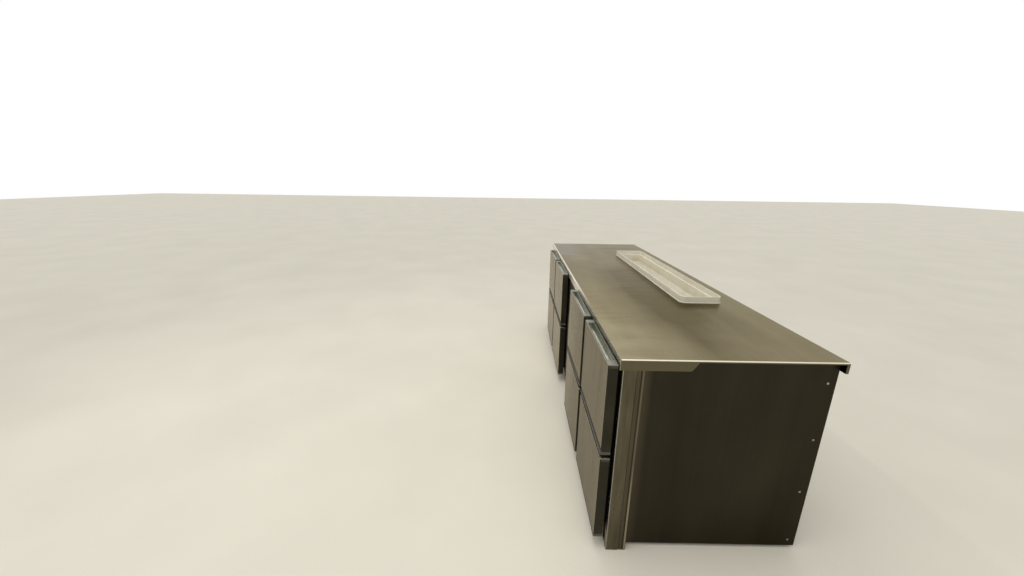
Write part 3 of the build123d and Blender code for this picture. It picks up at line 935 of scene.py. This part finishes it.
class GeometryTree(NodeGraph):
    """A Geometry Nodes tree with named inputs, ending in real geometry and a finish."""

    def __init__(self, name: str, sizes: dict[str, tuple[str, object]]) -> None:
        """Start a tree.

        Args:
            name: the tree's name.
            sizes: input names, each with its socket type and default.
        """
        super().__init__(bpy.data.node_groups.new(name, "GeometryNodeTree"))
        face = self.tree.interface
        face.new_socket("Geometry", in_out="INPUT", socket_type="NodeSocketGeometry")
        for key, (kind, default) in sizes.items():
            socket = face.new_socket(key, in_out="INPUT", socket_type=kind)
            if default is not None:
                socket.default_value = default
        face.new_socket("Finish", in_out="INPUT", socket_type="NodeSocketMaterial")
        face.new_socket("Geometry", in_out="OUTPUT", socket_type="NodeSocketGeometry")
        self.enter = self.node("NodeGroupInput")

    def given(self, name: str) -> Socket:
        """Return the socket of a named input."""
        return self.enter.outputs[name]

    def circle(self, resolution: int, radius: Value) -> Socket:
        """Return a level circle round the origin, as a curve."""
        return self.out("GeometryNodeCurvePrimitiveCircle", {"Resolution": resolution, "Radius": radius})

    def filled(self, curve: Socket) -> Socket:
        """Return a closed curve's area as a face."""
        return self.out("GeometryNodeFillCurve", {"Curve": curve})

    def join(self, *parts: Socket) -> Socket:
        """Join several geometries.

        Args:
            parts: the geometries.

        Returns:
            All of them as one.
        """
        node = self.node("GeometryNodeJoinGeometry")
        for part in parts:
            self.tree.links.new(part, node.inputs[0])
        return node.outputs[0]

    def copies(self, form: Socket, **more: Socket) -> Socket:
        """Return a form repeated on the given points."""
        inputs = {"Points": self.given("Geometry"), "Instance": form, **more}
        return self.out("GeometryNodeInstanceOnPoints", inputs)

    def close(self, geometry: Socket) -> None:
        """End the tree: real geometry, then its finish.

        Args:
            geometry: what was built.
        """
        real = self.out("GeometryNodeRealizeInstances", {"Geometry": geometry})
        done = self.out("GeometryNodeSetMaterial", {"Geometry": real, "Material": self.given("Finish")})
        self.node("NodeGroupOutput", {"Geometry": done})

    def grow(self, name: str, points: Sequence[Vector], material: Material, **sizes: object) -> Mesh:
        """Run the tree on a set of points.

        Args:
            name: the new mesh's name.
            points: places in metres.
            material: the finish.
            sizes: input values, with underscores for spaces.

        Returns:
            The result as a plain mesh.
        """
        seed = bpy.data.meshes.new(f"{name}_points")
        seed.from_pydata(points, [], [])
        carrier = placed(f"{name}_carrier", seed)
        modifier = carrier.modifiers.new("tree", "NODES")
        modifier.node_group = self.tree
        values = {key.replace("_", " "): value for key, value in sizes.items()}
        values["Finish"] = material
        for item in self.tree.interface.items_tree:
            if item.item_type == "SOCKET" and item.in_out == "INPUT" and item.name in values:
                modifier[item.identifier] = values[item.name]
        depsgraph = bpy.context.evaluated_depsgraph_get()
        mesh = bpy.data.meshes.new_from_object(carrier.evaluated_get(depsgraph), depsgraph=depsgraph)
        carrier.modifiers.remove(modifier)
        bpy.data.objects.remove(carrier)
        bpy.data.meshes.remove(seed)
        mesh.name = name
        crisp(mesh)
        return mesh


class ScrewTree(GeometryTree):
    """Socket-head screws on points, each turned at random about its own axis.

    The droop is how far the head sinks at its rim, and the socket's floor is how far up it lies, both as
    shares of the head's height.
    """

    rim_points: int = 20
    droop: float = 0.55
    socket_floor: float = 0.25
    seed: int = 11

    def __init__(self) -> None:
        """Build the tree: a domed head with a hexagon socket, closed below."""
        super().__init__("socket_screws", {
            "Head Radius": ("NodeSocketFloat", 0.004),
            "Head Height": ("NodeSocketFloat", 0.0015),
            "Socket Radius": ("NodeSocketFloat", 0.0017),
            "Turn": ("NodeSocketVector", STILL),
        })
        radius, height = self.given("Head Radius"), self.given("Head Height")
        rim = self.circle(self.rim_points, radius)
        hexagon = self.circle(HEXAGON, self.given("Socket Radius"))
        face = self.filled(self.join(rim, hexagon))
        raised = self.out("GeometryNodeExtrudeMesh", {"Mesh": face, "Offset Scale": height}, mode="FACES")
        x, y, z = self.split(self.out("GeometryNodeInputPosition"))
        share = self.calc("DIVIDE", self.length(self.vector(x, y)), radius)
        droop = self.times(self.calc("POWER", share, 2.0), -self.droop)
        domed = self.out("GeometryNodeSetPosition", {
            "Geometry": raised, "Offset": self.vector(z=self.times(droop, z)),
        })
        sunk = self.out("GeometryNodeTransform", {
            "Geometry": self.filled(hexagon),
            "Translation": self.vector(z=self.times(height, self.socket_floor)),
        })
        under = self.out("GeometryNodeFlipFaces", {"Mesh": self.filled(rim)})
        turn = self.out("FunctionNodeEulerToRotation", {0: self.given("Turn")})
        heads = self.copies(self.join(domed, sunk, under), Rotation=turn)
        turns = {2: 0.0, 3: math.tau, "Seed": self.seed}
        roll = self.node("FunctionNodeRandomValue", turns, data_type="FLOAT")
        self.close(self.out("GeometryNodeRotateInstances", {
            "Instances": heads, "Rotation": self.vector(z=roll.outputs[1]), "Local Space": True,
        }))


class RibTree(GeometryTree):
    """Pressed ribs with tapered ends, one on each point and level along X.

    The higher the power, the shorter the taper; its start, just over 1, keeps the ends' radius above 0.
    """

    line_points: int = 25
    oval_points: int = 12
    taper_power: float = 30.0
    taper_start: float = 1.002

    def __init__(self) -> None:
        """Build the tree: a half-buried oval bar whose radius falls to almost 0 at both ends."""
        super().__init__("pressed_ribs", {
            "Length": ("NodeSocketFloat", 0.3),
            "Width": ("NodeSocketFloat", 0.01),
            "Height": ("NodeSocketFloat", 0.002),
        })
        half = self.times(self.given("Length"), 0.5)
        line = self.out("GeometryNodeCurvePrimitiveLine", {
            "Start": self.vector(self.times(half, -1.0)), "End": self.vector(half),
        })
        fine = self.out("GeometryNodeResampleCurve", {"Curve": line, "Count": self.line_points})
        along = self.node("GeometryNodeSplineParameter").outputs["Factor"]
        centred = self.calc("ABSOLUTE", self.times(self.calc("SUBTRACT", along, 0.5), 2.0))
        fall = self.calc("POWER", centred, self.taper_power)
        taper = self.calc("SQRT", self.calc("SUBTRACT", self.taper_start, fall))
        shaped = self.out("GeometryNodeSetCurveRadius", {"Curve": fine, "Radius": taper})
        scale = self.vector(self.times(self.given("Width"), 0.5), self.given("Height"), 1.0)
        ring = self.circle(self.oval_points, 1.0)
        oval = self.out("GeometryNodeTransform", {"Geometry": ring, "Scale": scale})
        self.close(self.copies(self.out("GeometryNodeCurveToMesh", {
            "Curve": shaped, "Profile Curve": oval, "Fill Caps": True,
        })))


class StampTree(GeometryTree):
    """One ready-made form repeated on points."""

    def __init__(self) -> None:
        """Build the tree."""
        super().__init__("stamped_forms", {"Form": ("NodeSocketObject", None)})
        info = self.node("GeometryNodeObjectInfo", {"Object": self.given("Form")})
        self.close(self.copies(info.outputs["Geometry"]))


@dataclass
class Workshop:
    """What every sub-assembly builds with; its pieces ride on the counter unless they say otherwise."""

    finishes: Finishes = field(default_factory=Finishes)
    screws: ScrewTree = field(default_factory=ScrewTree)
    ribs: RibTree = field(default_factory=RibTree)
    stamps: StampTree = field(default_factory=StampTree)
    cover_margin: float = 0.014
    cover_ends: Pair = (0.020, 0.018)

    def dress(self, mesh: Mesh, material: Material | None = None, body: str = "counter",
              slot: str | None = None, stands_for: Sequence[str] = ()) -> None:
        """Make a piece of a mesh, give it a finish and let it ride.

        Args:
            mesh: the mesh, whose name becomes the piece's.
            material: its finish, or None for that of its slot.
            body: the CAD body that it moves with.
            slot: the record's material slot, if it has one.
            stands_for: CAD nodes that it replaces.
        """
        piece = placed(mesh.name, mesh)
        mesh.materials.clear()
        mesh.materials.append(material or self.finishes.by_slot[slot])
        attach(piece, body)
        if stands_for:
            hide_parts(*stands_for)
        LOG.info("%s: %d faces on %s", piece.name, len(mesh.polygons), body)

    def screw(self, name: str, points: Sequence[Vector], kind: Screw, facing: Facing,
              material: Material | None = None, body: str = "counter") -> None:
        """Put screws on points.

        Args:
            name: the piece's name.
            points: places in metres.
            kind: the screws' size.
            facing: where their heads point.
            material: their finish, or None for the usual one.
            body: the CAD body that they move with.
        """
        finish = material or self.finishes.fastener
        sizes = dict(zip(("Head_Radius", "Head_Height", "Socket_Radius"), kind.value))
        self.dress(self.screws.grow(name, points, finish, **sizes, Turn=facing.value), finish, body)

    def screw_cover(self, name: str, cover: str) -> None:
        """Put screws on a bay's cover, three up each side.

        Args:
            name: the piece's name.
            cover: the cover's CAD node.
        """
        low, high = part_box(cover)
        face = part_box("far_bay_panel")[0].y
        foot, top = self.cover_ends
        levels = (low.z + foot, (low.z + high.z) / 2, high.z - top)
        sides = (low.x + self.cover_margin, high.x - self.cover_margin)
        self.screw(name, [Vector((x, face, z)) for x in sides for z in levels], Screw.COVER, Facing.FRONT)

    def stamp(self, name: str, form: Solid, points: Sequence[Vector], material: Material | None = None,
              slot: str | None = None) -> None:
        """Repeat a form on points and dress all copies as one piece.

        Args:
            name: the piece's name.
            form: the form, built round the origin.
            points: places in metres.
            material: its finish, or None for that of its slot.
            slot: the record's material slot, if it has one.
        """
        finish = material or self.finishes.by_slot[slot]
        template = placed(f"{name}_form", form.mesh(f"{name}_form"))
        mesh = self.stamps.grow(name, points, finish, Form=template)
        bpy.data.objects.remove(template)
        self.dress(mesh, finish, slot=slot)


@dataclass
class CadFinishes:
    """Finishes on the CAD nodes that stay as they are."""

    shop: Workshop

    def dress(self) -> None:
        """Give each CAD node its own finish or that of its slot."""
        for row in frame["record"]["subparts"]:
            node = frame["nodes"][row["node"]]
            material = self.shop.finishes.for_node(row)
            node.data.materials.clear()
            node.data.materials.append(material)
            LOG.info("CAD node %s: %s", node.name, material.name)


@dataclass
class SauceWell:
    """Thin-walled pan with a rolled rim, and the sealant bead round its foot.

    Both sections are by inset and height above the worktop, and the pan's by radius too, in millimetres.
    """

    shop: Workshop
    corner: float = 28.0
    least_corner: float = 4.0
    corner_steps: int = 8
    fillet_steps: int = 5
    section: Corners = (
        (34.0, -57.8, 0.0), (11.0, -57.8, 9.0), (10.2, 0.0, 0.0), (0.0, 0.0, 0.0), (0.0, 34.0, 2.4),
        (4.2, 34.0, 1.6), (4.9, 4.0, 4.0), (14.0, 4.0, 2.6), (16.4, -54.0, 8.0), (34.0, -54.0, 0.0))
    bead: Outline = ((0.4, 0.0), (-3.2, 0.0), (-2.6, 1.1), (-1.5, 2.0), (-0.4, 3.0), (0.4, 3.2))

    def rings(self, section: Outline) -> list[Ring]:
        """Run a section round the pan.

        Args:
            section: insets and heights in millimetres.

        Returns:
            The rings.
        """
        low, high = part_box("sauce_well")
        centre = (low + high) / 2
        centre.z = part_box("worktop_sheet")[1].z
        radii = (self.corner,) * 4
        return stepped(centre, (high - low).xy, radii, section, self.corner_steps, self.least_corner)

    def build(self) -> None:
        """Build the pan and its bead."""
        section = filleted(self.section, self.fillet_steps)
        pan = Solid().loft(self.rings(section)).mesh("well_pan")
        self.shop.dress(pan, slot="white_plastic", stands_for=["sauce_well"])
        bead = Solid().loft(self.rings(self.bead), capped=False).mesh("well_sealant_bead")
        self.shop.dress(bead, self.shop.finishes.sealant)


@dataclass
class NearPost:
    """Folded post at the near end, with a set-back strip between two pressed lines and a rear bead.

    Each corner is a place across and behind the front edge and a radius, in millimetres.
    """

    shop: Workshop
    section: Corners = (
        (0.0, 0.0, 0.0), (23.0, 0.0, 3.0), (23.0, 50.0, 1.2), (20.5, 52.5, 0.8), (20.5, 55.0, 0.8),
        (21.4, 57.0, 0.8), (21.4, 65.5, 0.8), (20.5, 67.5, 0.6), (20.5, 69.0, 0.6), (23.0, 71.5, 2.5),
        (23.0, 81.0, 4.0), (0.0, 81.0, 0.0), (0.0, 79.5, 0.0), (21.5, 79.5, 2.5), (21.5, 72.5, 0.0),
        (19.0, 70.0, 0.0), (19.0, 51.9, 0.0), (21.5, 49.4, 0.0), (21.5, 1.5, 1.5), (0.0, 1.5, 0.0))

    def build(self) -> None:
        """Build the post."""
        low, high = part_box("near_end_post")
        outline = millimetres(filleted(self.section), (low.x, low.y))
        post = Solid().prism(outline, Sweep.Z, low.z, high.z).mesh("folded_near_post")
        self.shop.dress(post, self.shop.finishes.post, slot="panel_steel", stands_for=["near_end_post"])


@dataclass
class DrawerDressing:
    """Grip channel, closed ends, edge caps, screws and floor ribs of one drawer.

    Sections are by place behind the front and up from its top edge, the plate's by inset and height, and the
    cap's by place out of the front's side and up from its top edge. They, their ridges and grooves, the
    corners' radii and the pairs are in millimetres, and the other sizes in metres.
    """

    shop: Workshop
    end: str
    body: str = field(init=False)
    low: Vector = field(init=False)
    high: Vector = field(init=False)
    grip_end: float = 0.038
    corner: float = 6.0
    front_rim: Corners = (
        (0.5, -0.3, 0.0), (0.5, 1.0, 0.3), (1.6, 1.0, 0.3), (2.0, 0.2, 0.2), (3.3, 0.2, 0.2), (3.7, 0.9, 0.3),
        (5.5, 0.9, 0.5), (5.7, -21.2, 4.5))
    rear_rim: Corners = (
        (25.3, -21.2, 4.0), (32.4, 0.4, 0.8), (37.2, 0.4, 0.4), (37.2, -0.3, 0.0), (33.6, -0.3, 0.0),
        (26.8, -22.6, 3.0), (4.6, -22.6, 3.0), (4.6, -0.3, 0.0))
    ridge_places: tuple[float, ...] = (12.4, 15.0, 17.6, 20.2)
    ridge: Outline = ((-0.8, -21.2), (-0.5, -20.5), (0.5, -20.5), (0.8, -21.2))
    stop: Outline = ((5.2, 0.4), (5.2, -21.8), (25.8, -21.8), (32.8, 0.4))
    stop_reach: Pair = (0.4, -1.2)
    plate: Outline = ((0.0, -0.3), (0.0, 0.5), (0.2, 0.85), (0.6, 1.0))
    plate_corner: float = 2.6
    plate_steps: int = 4
    plate_gap: float = 0.0008
    plate_seat: float = 0.0009
    floor_screw: Pair = (16.3, -20.6)
    cap_top: Outline = ((-0.2, -3.0), (0.45, -3.2))
    cap_groove: Outline = ((0.45, 0.0), (0.1, -0.3), (0.1, -1.1), (0.45, -1.4))
    cap_grooves: tuple[float, ...] = (-5.0, -8.2)
    cap_foot: Outline = ((0.45, -12.4), (0.2, -13.0), (-0.2, -13.0))
    cap_gap: Pair = (0.3, 0.6)
    rib_count: int = 6
    rib_margin: float = 0.0425
    rib_width: float = 0.014
    rib_height: float = 0.0028
    floor_thickness: float = 0.0015

    def __post_init__(self) -> None:
        """Find the drawer's body and its front's box."""
        self.body = f"drawer_{self.end}"
        self.low, self.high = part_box(f"front_{self.end}")

    def add(self, name: str, solid: Solid, material: Material) -> None:
        """Dress one of the drawer's pieces, whose name gets the drawer's ending."""
        self.shop.dress(solid.mesh(f"{name}_{self.end}"), material, self.body)

    def channel_outline(self) -> list[Pair]:
        """Return the channel's section, with its ridges between the rims."""
        ridges = [(place + y, z, 0.0) for place in self.ridge_places for y, z in self.ridge]
        return filleted((*self.front_rim, *ridges, *self.rear_rim))

    def cap_outline(self) -> list[Pair]:
        """Return a side cap's section, with its grooves between its top and its foot."""
        grooves = [(out, place + z) for place in self.cap_grooves for out, z in self.cap_groove]
        return [*self.cap_top, *grooves, *self.cap_foot]

    def build(self) -> None:
        """Build the drawer's pieces."""
        finishes = self.shop.finishes
        origin = (self.low.y, self.high.z)
        start, end = self.low.x + self.grip_end, self.high.x - self.grip_end
        channel = Solid().prism(millimetres(self.channel_outline(), origin), Sweep.X, start, end)
        self.add("grip_channel", channel, finishes.channel)
        seats = self.build_ends()
        floor = millimetres([self.floor_screw], origin)[0]
        seats.append(Sweep.X.place(floor, (start + end) / 2))
        self.shop.screw(f"grip_screws_{self.end}", seats, Screw.GRIP, Facing.UP, finishes.cast_end, self.body)
        self.build_caps()
        self.build_ribs()

    def build_ends(self) -> list[Vector]:
        """Build the closed ends of the channel, each a plate on top and a stop inside.

        Returns:
            The seats of the plates' screws.
        """
        ends = Solid()
        seats = []
        depth = self.high.y - self.low.y
        for side, edge, front_corner in ((-1, self.low.x, 2), (1, self.high.x, 3)):
            centre = Vector((edge - side * self.grip_end / 2, self.low.y + depth / 2, self.high.z))
            seats.append(centre + Vector((0.0, 0.0, self.plate_seat)))
            radii = [self.plate_corner] * 4
            radii[front_corner] = self.corner
            size = (self.grip_end - self.plate_gap, depth - self.plate_gap)
            ends.loft(stepped(centre, size, radii, self.plate, self.plate_steps))
            start, end = (edge + side * (out * MM - self.grip_end) for out in self.stop_reach)
            ends.prism(millimetres(self.stop, (self.low.y, self.high.z)), Sweep.X, start, end)
        self.add("grip_ends", ends, self.shop.finishes.cast_end)
        return seats

    def build_caps(self) -> None:
        """Build the ridged caps at the top of the front's two side edges."""
        caps = Solid()
        ahead, behind = self.cap_gap
        for edge, side in ((self.low.x, -1), (self.high.x, 1)):
            outline = millimetres(self.cap_outline(), (edge, self.high.z), side)
            caps.prism(outline, Sweep.Y, self.low.y + (self.corner + ahead) * MM, self.high.y - behind * MM)
        self.add("edge_caps", caps, self.shop.finishes.edge_cap)

    def build_ribs(self) -> None:
        """Build the ribs pressed into the drawer's floor."""
        low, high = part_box(f"box_{self.end}")
        pitch = (high.y - low.y) / (self.rib_count + 1)
        middle = (low.x + high.x) / 2
        height = low.z + self.floor_thickness
        points = [Vector((middle, low.y + (i + 1) * pitch, height)) for i in range(self.rib_count)]
        ribs = self.shop.ribs.grow(
            f"floor_ribs_{self.end}", points, self.shop.finishes.by_slot["box_steel"],
            Length=high.x - low.x - 2 * self.rib_margin, Width=self.rib_width, Height=self.rib_height)
        self.shop.dress(ribs, body=self.body, slot="box_steel")


@dataclass
class MachineBay:
    """Louvre cheeks, cover screws, window and keys of the machine bay.

    The cheek is by place behind the face and up from the louvre's foot, the bezel and the glass by inset from
    the window's edge and height, and the key by width and height. These sections and the window's corners are
    in millimetres, and the other sizes in metres.
    """

    shop: Workshop
    middle: float = field(init=False)
    face: float = field(init=False)
    plate_face: float = field(init=False)
    louvre_count: int = 14
    louvre_pitch: float = 0.030
    louvre_bottom: float = 0.150
    louvre_width: float = 0.290
    cheek: Outline = ((0.9, 18.6), (-8.3, 0.0), (-8.3, -0.9), (0.9, -0.9))
    cheek_thickness: float = 0.0015
    cheek_gap: float = 0.0002
    plate_middle: float = 0.7155
    plate_proud: float = 0.004
    window_size: Pair = (0.086, 0.034)
    window_corner: float = 4.0
    corner_steps: int = 5
    window_shift: float = -0.038
    bezel: Outline = ((-3.0, 0.0), (-3.0, 1.0), (-2.6, 1.5), (-0.5, 1.5), (0.0, 1.0), (0.0, 0.0))
    glass: Outline = ((-0.3, 0.0), (-0.3, 0.6), (0.2, 0.9))
    key: Outline = ((15.0, 0.0), (15.0, 1.4), (14.2, 2.1), (12.6, 2.4), (8.0, 2.1), (4.0, 1.9))
    key_roundness: float = 0.99
    key_start: float = 0.028
    key_pitch: float = 0.023
    key_count: int = 3

    def __post_init__(self) -> None:
        """Find the bay's middle on X, and the covers' and the control plate's faces on Y."""
        low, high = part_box("bay_panel")
        self.middle = (low.x + high.x) / 2
        self.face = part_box("far_bay_panel")[0].y
        self.plate_face = self.face - self.plate_proud

    def build(self) -> None:
        """Build the bay's pieces."""
        cheeks = Solid()
        outer = self.louvre_width / 2 - self.cheek_gap
        for start in (-outer, outer - self.cheek_thickness):
            cheeks.prism(millimetres(self.cheek), Sweep.X, start, start + self.cheek_thickness)
        levels = [self.louvre_bottom + i * self.louvre_pitch for i in range(self.louvre_count)]
        places = [Vector((self.middle, self.face, level)) for level in levels]
        self.shop.stamp("louvre_cheeks", cheeks, places, slot="panel_steel")
        self.shop.screw_cover("bay_cover_screws", "bay_panel")
        self.build_window()
        self.build_keys()

    def build_window(self) -> None:
        """Build the window and its bezel."""
        centre = Vector((self.middle + self.window_shift, self.plate_middle, 0.0))
        radii = (self.window_corner,) * 4
        shape = partial(stepped, centre, self.window_size, radii, steps=self.corner_steps)
        bezel = Solid().loft(upright(shape(self.bezel), self.plate_face), capped=False)
        self.shop.dress(bezel.mesh("display_bezel"), self.shop.finishes.key)
        glass = Solid().loft(upright(shape(self.glass), self.plate_face))
        self.shop.dress(glass.mesh("display_glass"), self.shop.finishes.window)

    def build_keys(self) -> None:
        """Build the row of keys beside the window."""
        rings = []
        for width, out in self.key:
            size = width * MM
            radii = (size / 2 * self.key_roundness,) * 4
            middle = Vector((0.0, 0.0, out * MM))
            rings.append(rounded_ring(middle, size, size, radii, self.corner_steps))
        first = self.middle + self.key_start
        places = [Vector((first + i * self.key_pitch, self.plate_face, self.plate_middle))
                  for i in range(self.key_count)]
        self.shop.stamp("control_keys", Solid().loft(upright(rings)), places, self.shop.finishes.key)


@dataclass
class Shell:
    """Screws, seam strips, cable grommet and leg nuts of the fixed body.

    The strip and its screws are by place sideways and out of the back, and the other sections by radius and
    height. All of these are in millimetres, and the other sizes in metres.
    """

    shop: Workshop
    seams: tuple[float, ...] = (0.02, 0.26, 0.5, 0.74, 0.98)
    strip: Outline = (
        (-16.0, 0.0), (-16.0, 0.6), (-14.0, 1.2), (-4.0, 1.2), (-2.0, 2.4), (2.0, 2.4), (4.0, 1.2),
        (14.0, 1.2), (16.0, 0.6), (16.0, 0.0))
    strip_margin: float = 0.006
    strip_screw: Pair = (9.5, 1.08)
    strip_rows: int = 6
    end_margin: float = 0.03
    end_rows: int = 4
    grommet: Outline = (
        (16.0, -20.0), (16.0, 1.0), (17.2, 2.6), (19.0, 3.0), (24.0, 2.6), (26.0, 1.4), (26.0, 0.0),
        (19.8, 0.0), (19.8, -20.0))
    nut: Outline = ((25.5, 44.0), (27.5, 45.2), (27.5, 53.0), (25.5, 54.2))
    washer: Outline = ((6.2, 5.0), (11.0, 5.0), (11.0, 6.2), (10.4, 6.8), (6.8, 6.8), (6.2, 6.2))
    grommet_steps: int = 40
    washer_steps: int = 24
    leg_inset: float = 0.084
    inner_leg: float = 0.4
    anchor_shift: float = 0.058
    half_plate: float = 0.025

    def build(self) -> None:
        """Build the shell's pieces."""
        self.build_back()
        self.build_ends()
        self.shop.screw_cover("far_cover_screws", "far_bay_panel")
        self.build_grommet()
        self.build_feet()

    def build_back(self) -> None:
        """Build the seam strips on the back and their screws."""
        low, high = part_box("back_panel")
        height = high.z - low.z
        feet = [Vector((low.x + (high.x - low.x) * share, high.y, low.z)) for share in self.seams]
        strip = Solid().prism(
            millimetres(self.strip), Sweep.Z, self.strip_margin, height - self.strip_margin)
        self.shop.stamp("back_seam_strips", strip, feet, slot="panel_steel")
        aside, out = (distance * MM for distance in self.strip_screw)
        levels = [height * (i + 0.5) / self.strip_rows for i in range(self.strip_rows)]
        points = [foot + Vector((side * aside, out, z)) for foot in feet for side in (-1, 1) for z in levels]
        self.shop.screw("back_seam_screws", points, Screw.SEAM, Facing.BACK)

    def build_ends(self) -> None:
        """Build the rows of screws on both end panels."""
        margin = self.end_margin
        for node, facing in (("near_end_panel", Facing.NEAR), ("far_end_panel", Facing.FAR)):
            low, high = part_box(node)
            face = high.x if facing is Facing.NEAR else low.x
            edges = (high.y - margin,) if facing is Facing.NEAR else (low.y + margin, high.y - margin)
            pitch = (high.z - low.z - 2 * margin) / (self.end_rows - 1)
            levels = [low.z + margin + i * pitch for i in range(self.end_rows)]
            points = [Vector((face, y, z)) for y in edges for z in levels]
            self.shop.screw(f"{node}_screws", points, Screw.PANEL, facing)

    def build_grommet(self) -> None:
        """Build the rubber ring in the cable outlet."""
        mount = next(m for m in frame["record"]["mounts"] if m["name"] == "cable_outlet")
        x, _, z = mount["pos_m"]
        rings = turned(self.grommet, self.grommet_steps, Sweep.Y, (x, z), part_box("back_panel")[1].y)
        self.shop.dress(Solid().loft(rings, capped=False).mesh("cable_grommet"), slot="seal_rubber")

    def feet(self, shift: float) -> list[Vector]:
        """Find a place on the floor plate of every leg.

        Args:
            shift: how far it lies from the leg towards the counter's nearer end.

        Returns:
            The places.
        """
        low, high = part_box("feet")
        legs = (high.x - self.leg_inset, self.inner_leg)
        rows = (low.y + self.half_plate, high.y - self.half_plate)
        return [Vector((side * (leg + shift), y, 0.0)) for leg in legs for side in (-1, 1) for y in rows]

    def build_feet(self) -> None:
        """Build the lock nuts and the washers of the legs."""
        nut = Solid().loft(turned(self.nut, HEXAGON))
        self.shop.stamp("leg_lock_nuts", nut, self.feet(0.0), slot="zinc_steel")
        washer = Solid().loft(turned(self.washer, self.washer_steps), capped=False)
        self.shop.stamp("anchor_washers", washer, self.feet(self.anchor_shift), slot="zinc_steel")


@dataclass
class Studio:
    """Plain pale floor, soft lamps, white surroundings and the camera.

    Each lamp has a position, an aim, a size on two axes and a power.
    """

    shop: Workshop
    position: Triple = (2.503, -0.754, 1.447)
    pitch: float = 15.67
    yaw: float = -0.32
    roll: float = -0.78
    focal_pixels: float = 385.8
    image_width: float = 1024.0
    sensor: float = 36.0
    clip: Span = (0.01, 100.0)
    floor_half: float = 30.0
    sky: float = 0.72
    sun: float = 0.75
    sun_width: float = 50.0
    sun_aim: Triple = (-0.25, 0.35, -1.0)
    lamps: tuple[tuple[str, Triple, Triple, Pair, float], ...] = (
        ("lamp_overhead", (0.2, -0.5, 3.4), (0.0, 0.0, 0.8), (3.6, 1.6), 14.0),
        ("lamp_aisle", (0.8, -3.6, 2.0), (0.0, -0.4, 0.5), (3.2, 1.6), 14.0),
        ("lamp_near_end", (4.6, 0.8, 1.8), (1.0, 0.0, 0.5), (1.6, 1.6), 8.0),
        ("lamp_strip", (0.4, -0.9, 2.3), (0.4, -0.3, 0.8), (4.4, 0.05), 9.0),
    )

    def build(self) -> None:
        """Build the studio."""
        self.build_floor()
        self.build_lamps()
        self.build_surroundings()
        self.build_camera()

    def build_floor(self) -> None:
        """Lay the floor."""
        mesh = bpy.data.meshes.new("studio_floor")
        half = self.floor_half
        corners = [(-half, -half, 0), (half, -half, 0), (half, half, 0), (-half, half, 0)]
        mesh.from_pydata(corners, [], [(0, 1, 2, 3)])
        mesh.materials.append(self.shop.finishes.floor)
        placed("studio_floor", mesh)

    @staticmethod
    def hang(name: str, kind: str, power: float, aim: Vector) -> bpy.types.Object:
        """Hang a lamp at the origin.

        Args:
            name: the lamp's name.
            kind: its type.
            power: its strength.
            aim: the direction it shines in.

        Returns:
            The lamp.
        """
        data = bpy.data.lights.new(name, kind)
        data.energy = power
        lamp = placed(name, data)
        lamp.rotation_euler = aim.to_track_quat("-Z", "Y").to_euler()
        return lamp

    def build_lamps(self) -> None:
        """Hang one wide soft sun and the soft lamps."""
        sun = self.hang("lamp_sun", "SUN", self.sun, Vector(self.sun_aim))
        sun.data.angle = math.radians(self.sun_width)
        for name, position, aim, (wide, high), power in self.lamps:
            lamp = self.hang(name, "AREA", power, Vector(aim) - Vector(position))
            lamp.location = position
            lamp.data.shape = "RECTANGLE"
            lamp.data.size = wide
            lamp.data.size_y = high

    def build_surroundings(self) -> None:
        """Make the world white where it is seen or mirrored, and soft where it lights."""
        world = bpy.data.worlds.new("studio_world")
        bpy.context.scene.world = world
        world.use_nodes = True
        graph = NodeGraph(world.node_tree)
        graph.tree.nodes.clear()
        rays = graph.node("ShaderNodeLightPath").outputs
        shown = [rays[f"Is {kind} Ray"] for kind in ("Camera", "Glossy", "Transmission")]
        seen = reduce(partial(graph.calc, "MAXIMUM"), shown)
        white = (1.0, 1.0, 1.0, 1.0)
        soft, full = (graph.out("ShaderNodeBackground", {"Color": white, "Strength": strength})
                      for strength in (self.sky, 1.0))
        mixed = graph.out("ShaderNodeMixShader", {0: seen, 1: soft, 2: full})
        graph.node("ShaderNodeOutputWorld", {"Surface": mixed})

    def build_camera(self) -> None:
        """Place the camera at the photograph's viewpoint."""
        pitch, yaw, roll = (math.radians(a) for a in (self.pitch, self.yaw, self.roll))
        ahead = math.cos(pitch)
        forward = Vector((-math.cos(yaw) * ahead, math.sin(yaw) * ahead, -math.sin(pitch)))
        level = Vector((math.sin(yaw), math.cos(yaw), 0.0))
        down = forward.cross(level)
        right = math.cos(roll) * level + math.sin(roll) * down
        lowered = -math.sin(roll) * level + math.cos(roll) * down
        data = bpy.data.cameras.new("photo_camera")
        data.sensor_width = self.sensor
        data.lens = self.focal_pixels / self.image_width * self.sensor
        data.clip_start, data.clip_end = self.clip
        camera = placed("photo_camera", data)
        turn = Matrix((right, -lowered, -forward)).transposed()
        camera.matrix_world = Matrix.Translation(self.position) @ turn.to_4x4()
        bpy.context.scene.camera = camera


def main() -> None:
    """Build the counter's looks in order."""
    logging.basicConfig(level=logging.INFO, format="%(name)s: %(message)s")
    bpy.context.scene.view_settings.view_transform = "Standard"
    shop = Workshop()
    Studio(shop).build()
    CadFinishes(shop).dress()
    SauceWell(shop).build()
    NearPost(shop).build()
    for number in COLUMNS:
        for row in ROWS:
            DrawerDressing(shop, f"{number}_{row}").build()
    MachineBay(shop).build()
    Shell(shop).build()


if __name__ == "__main__":
    main()
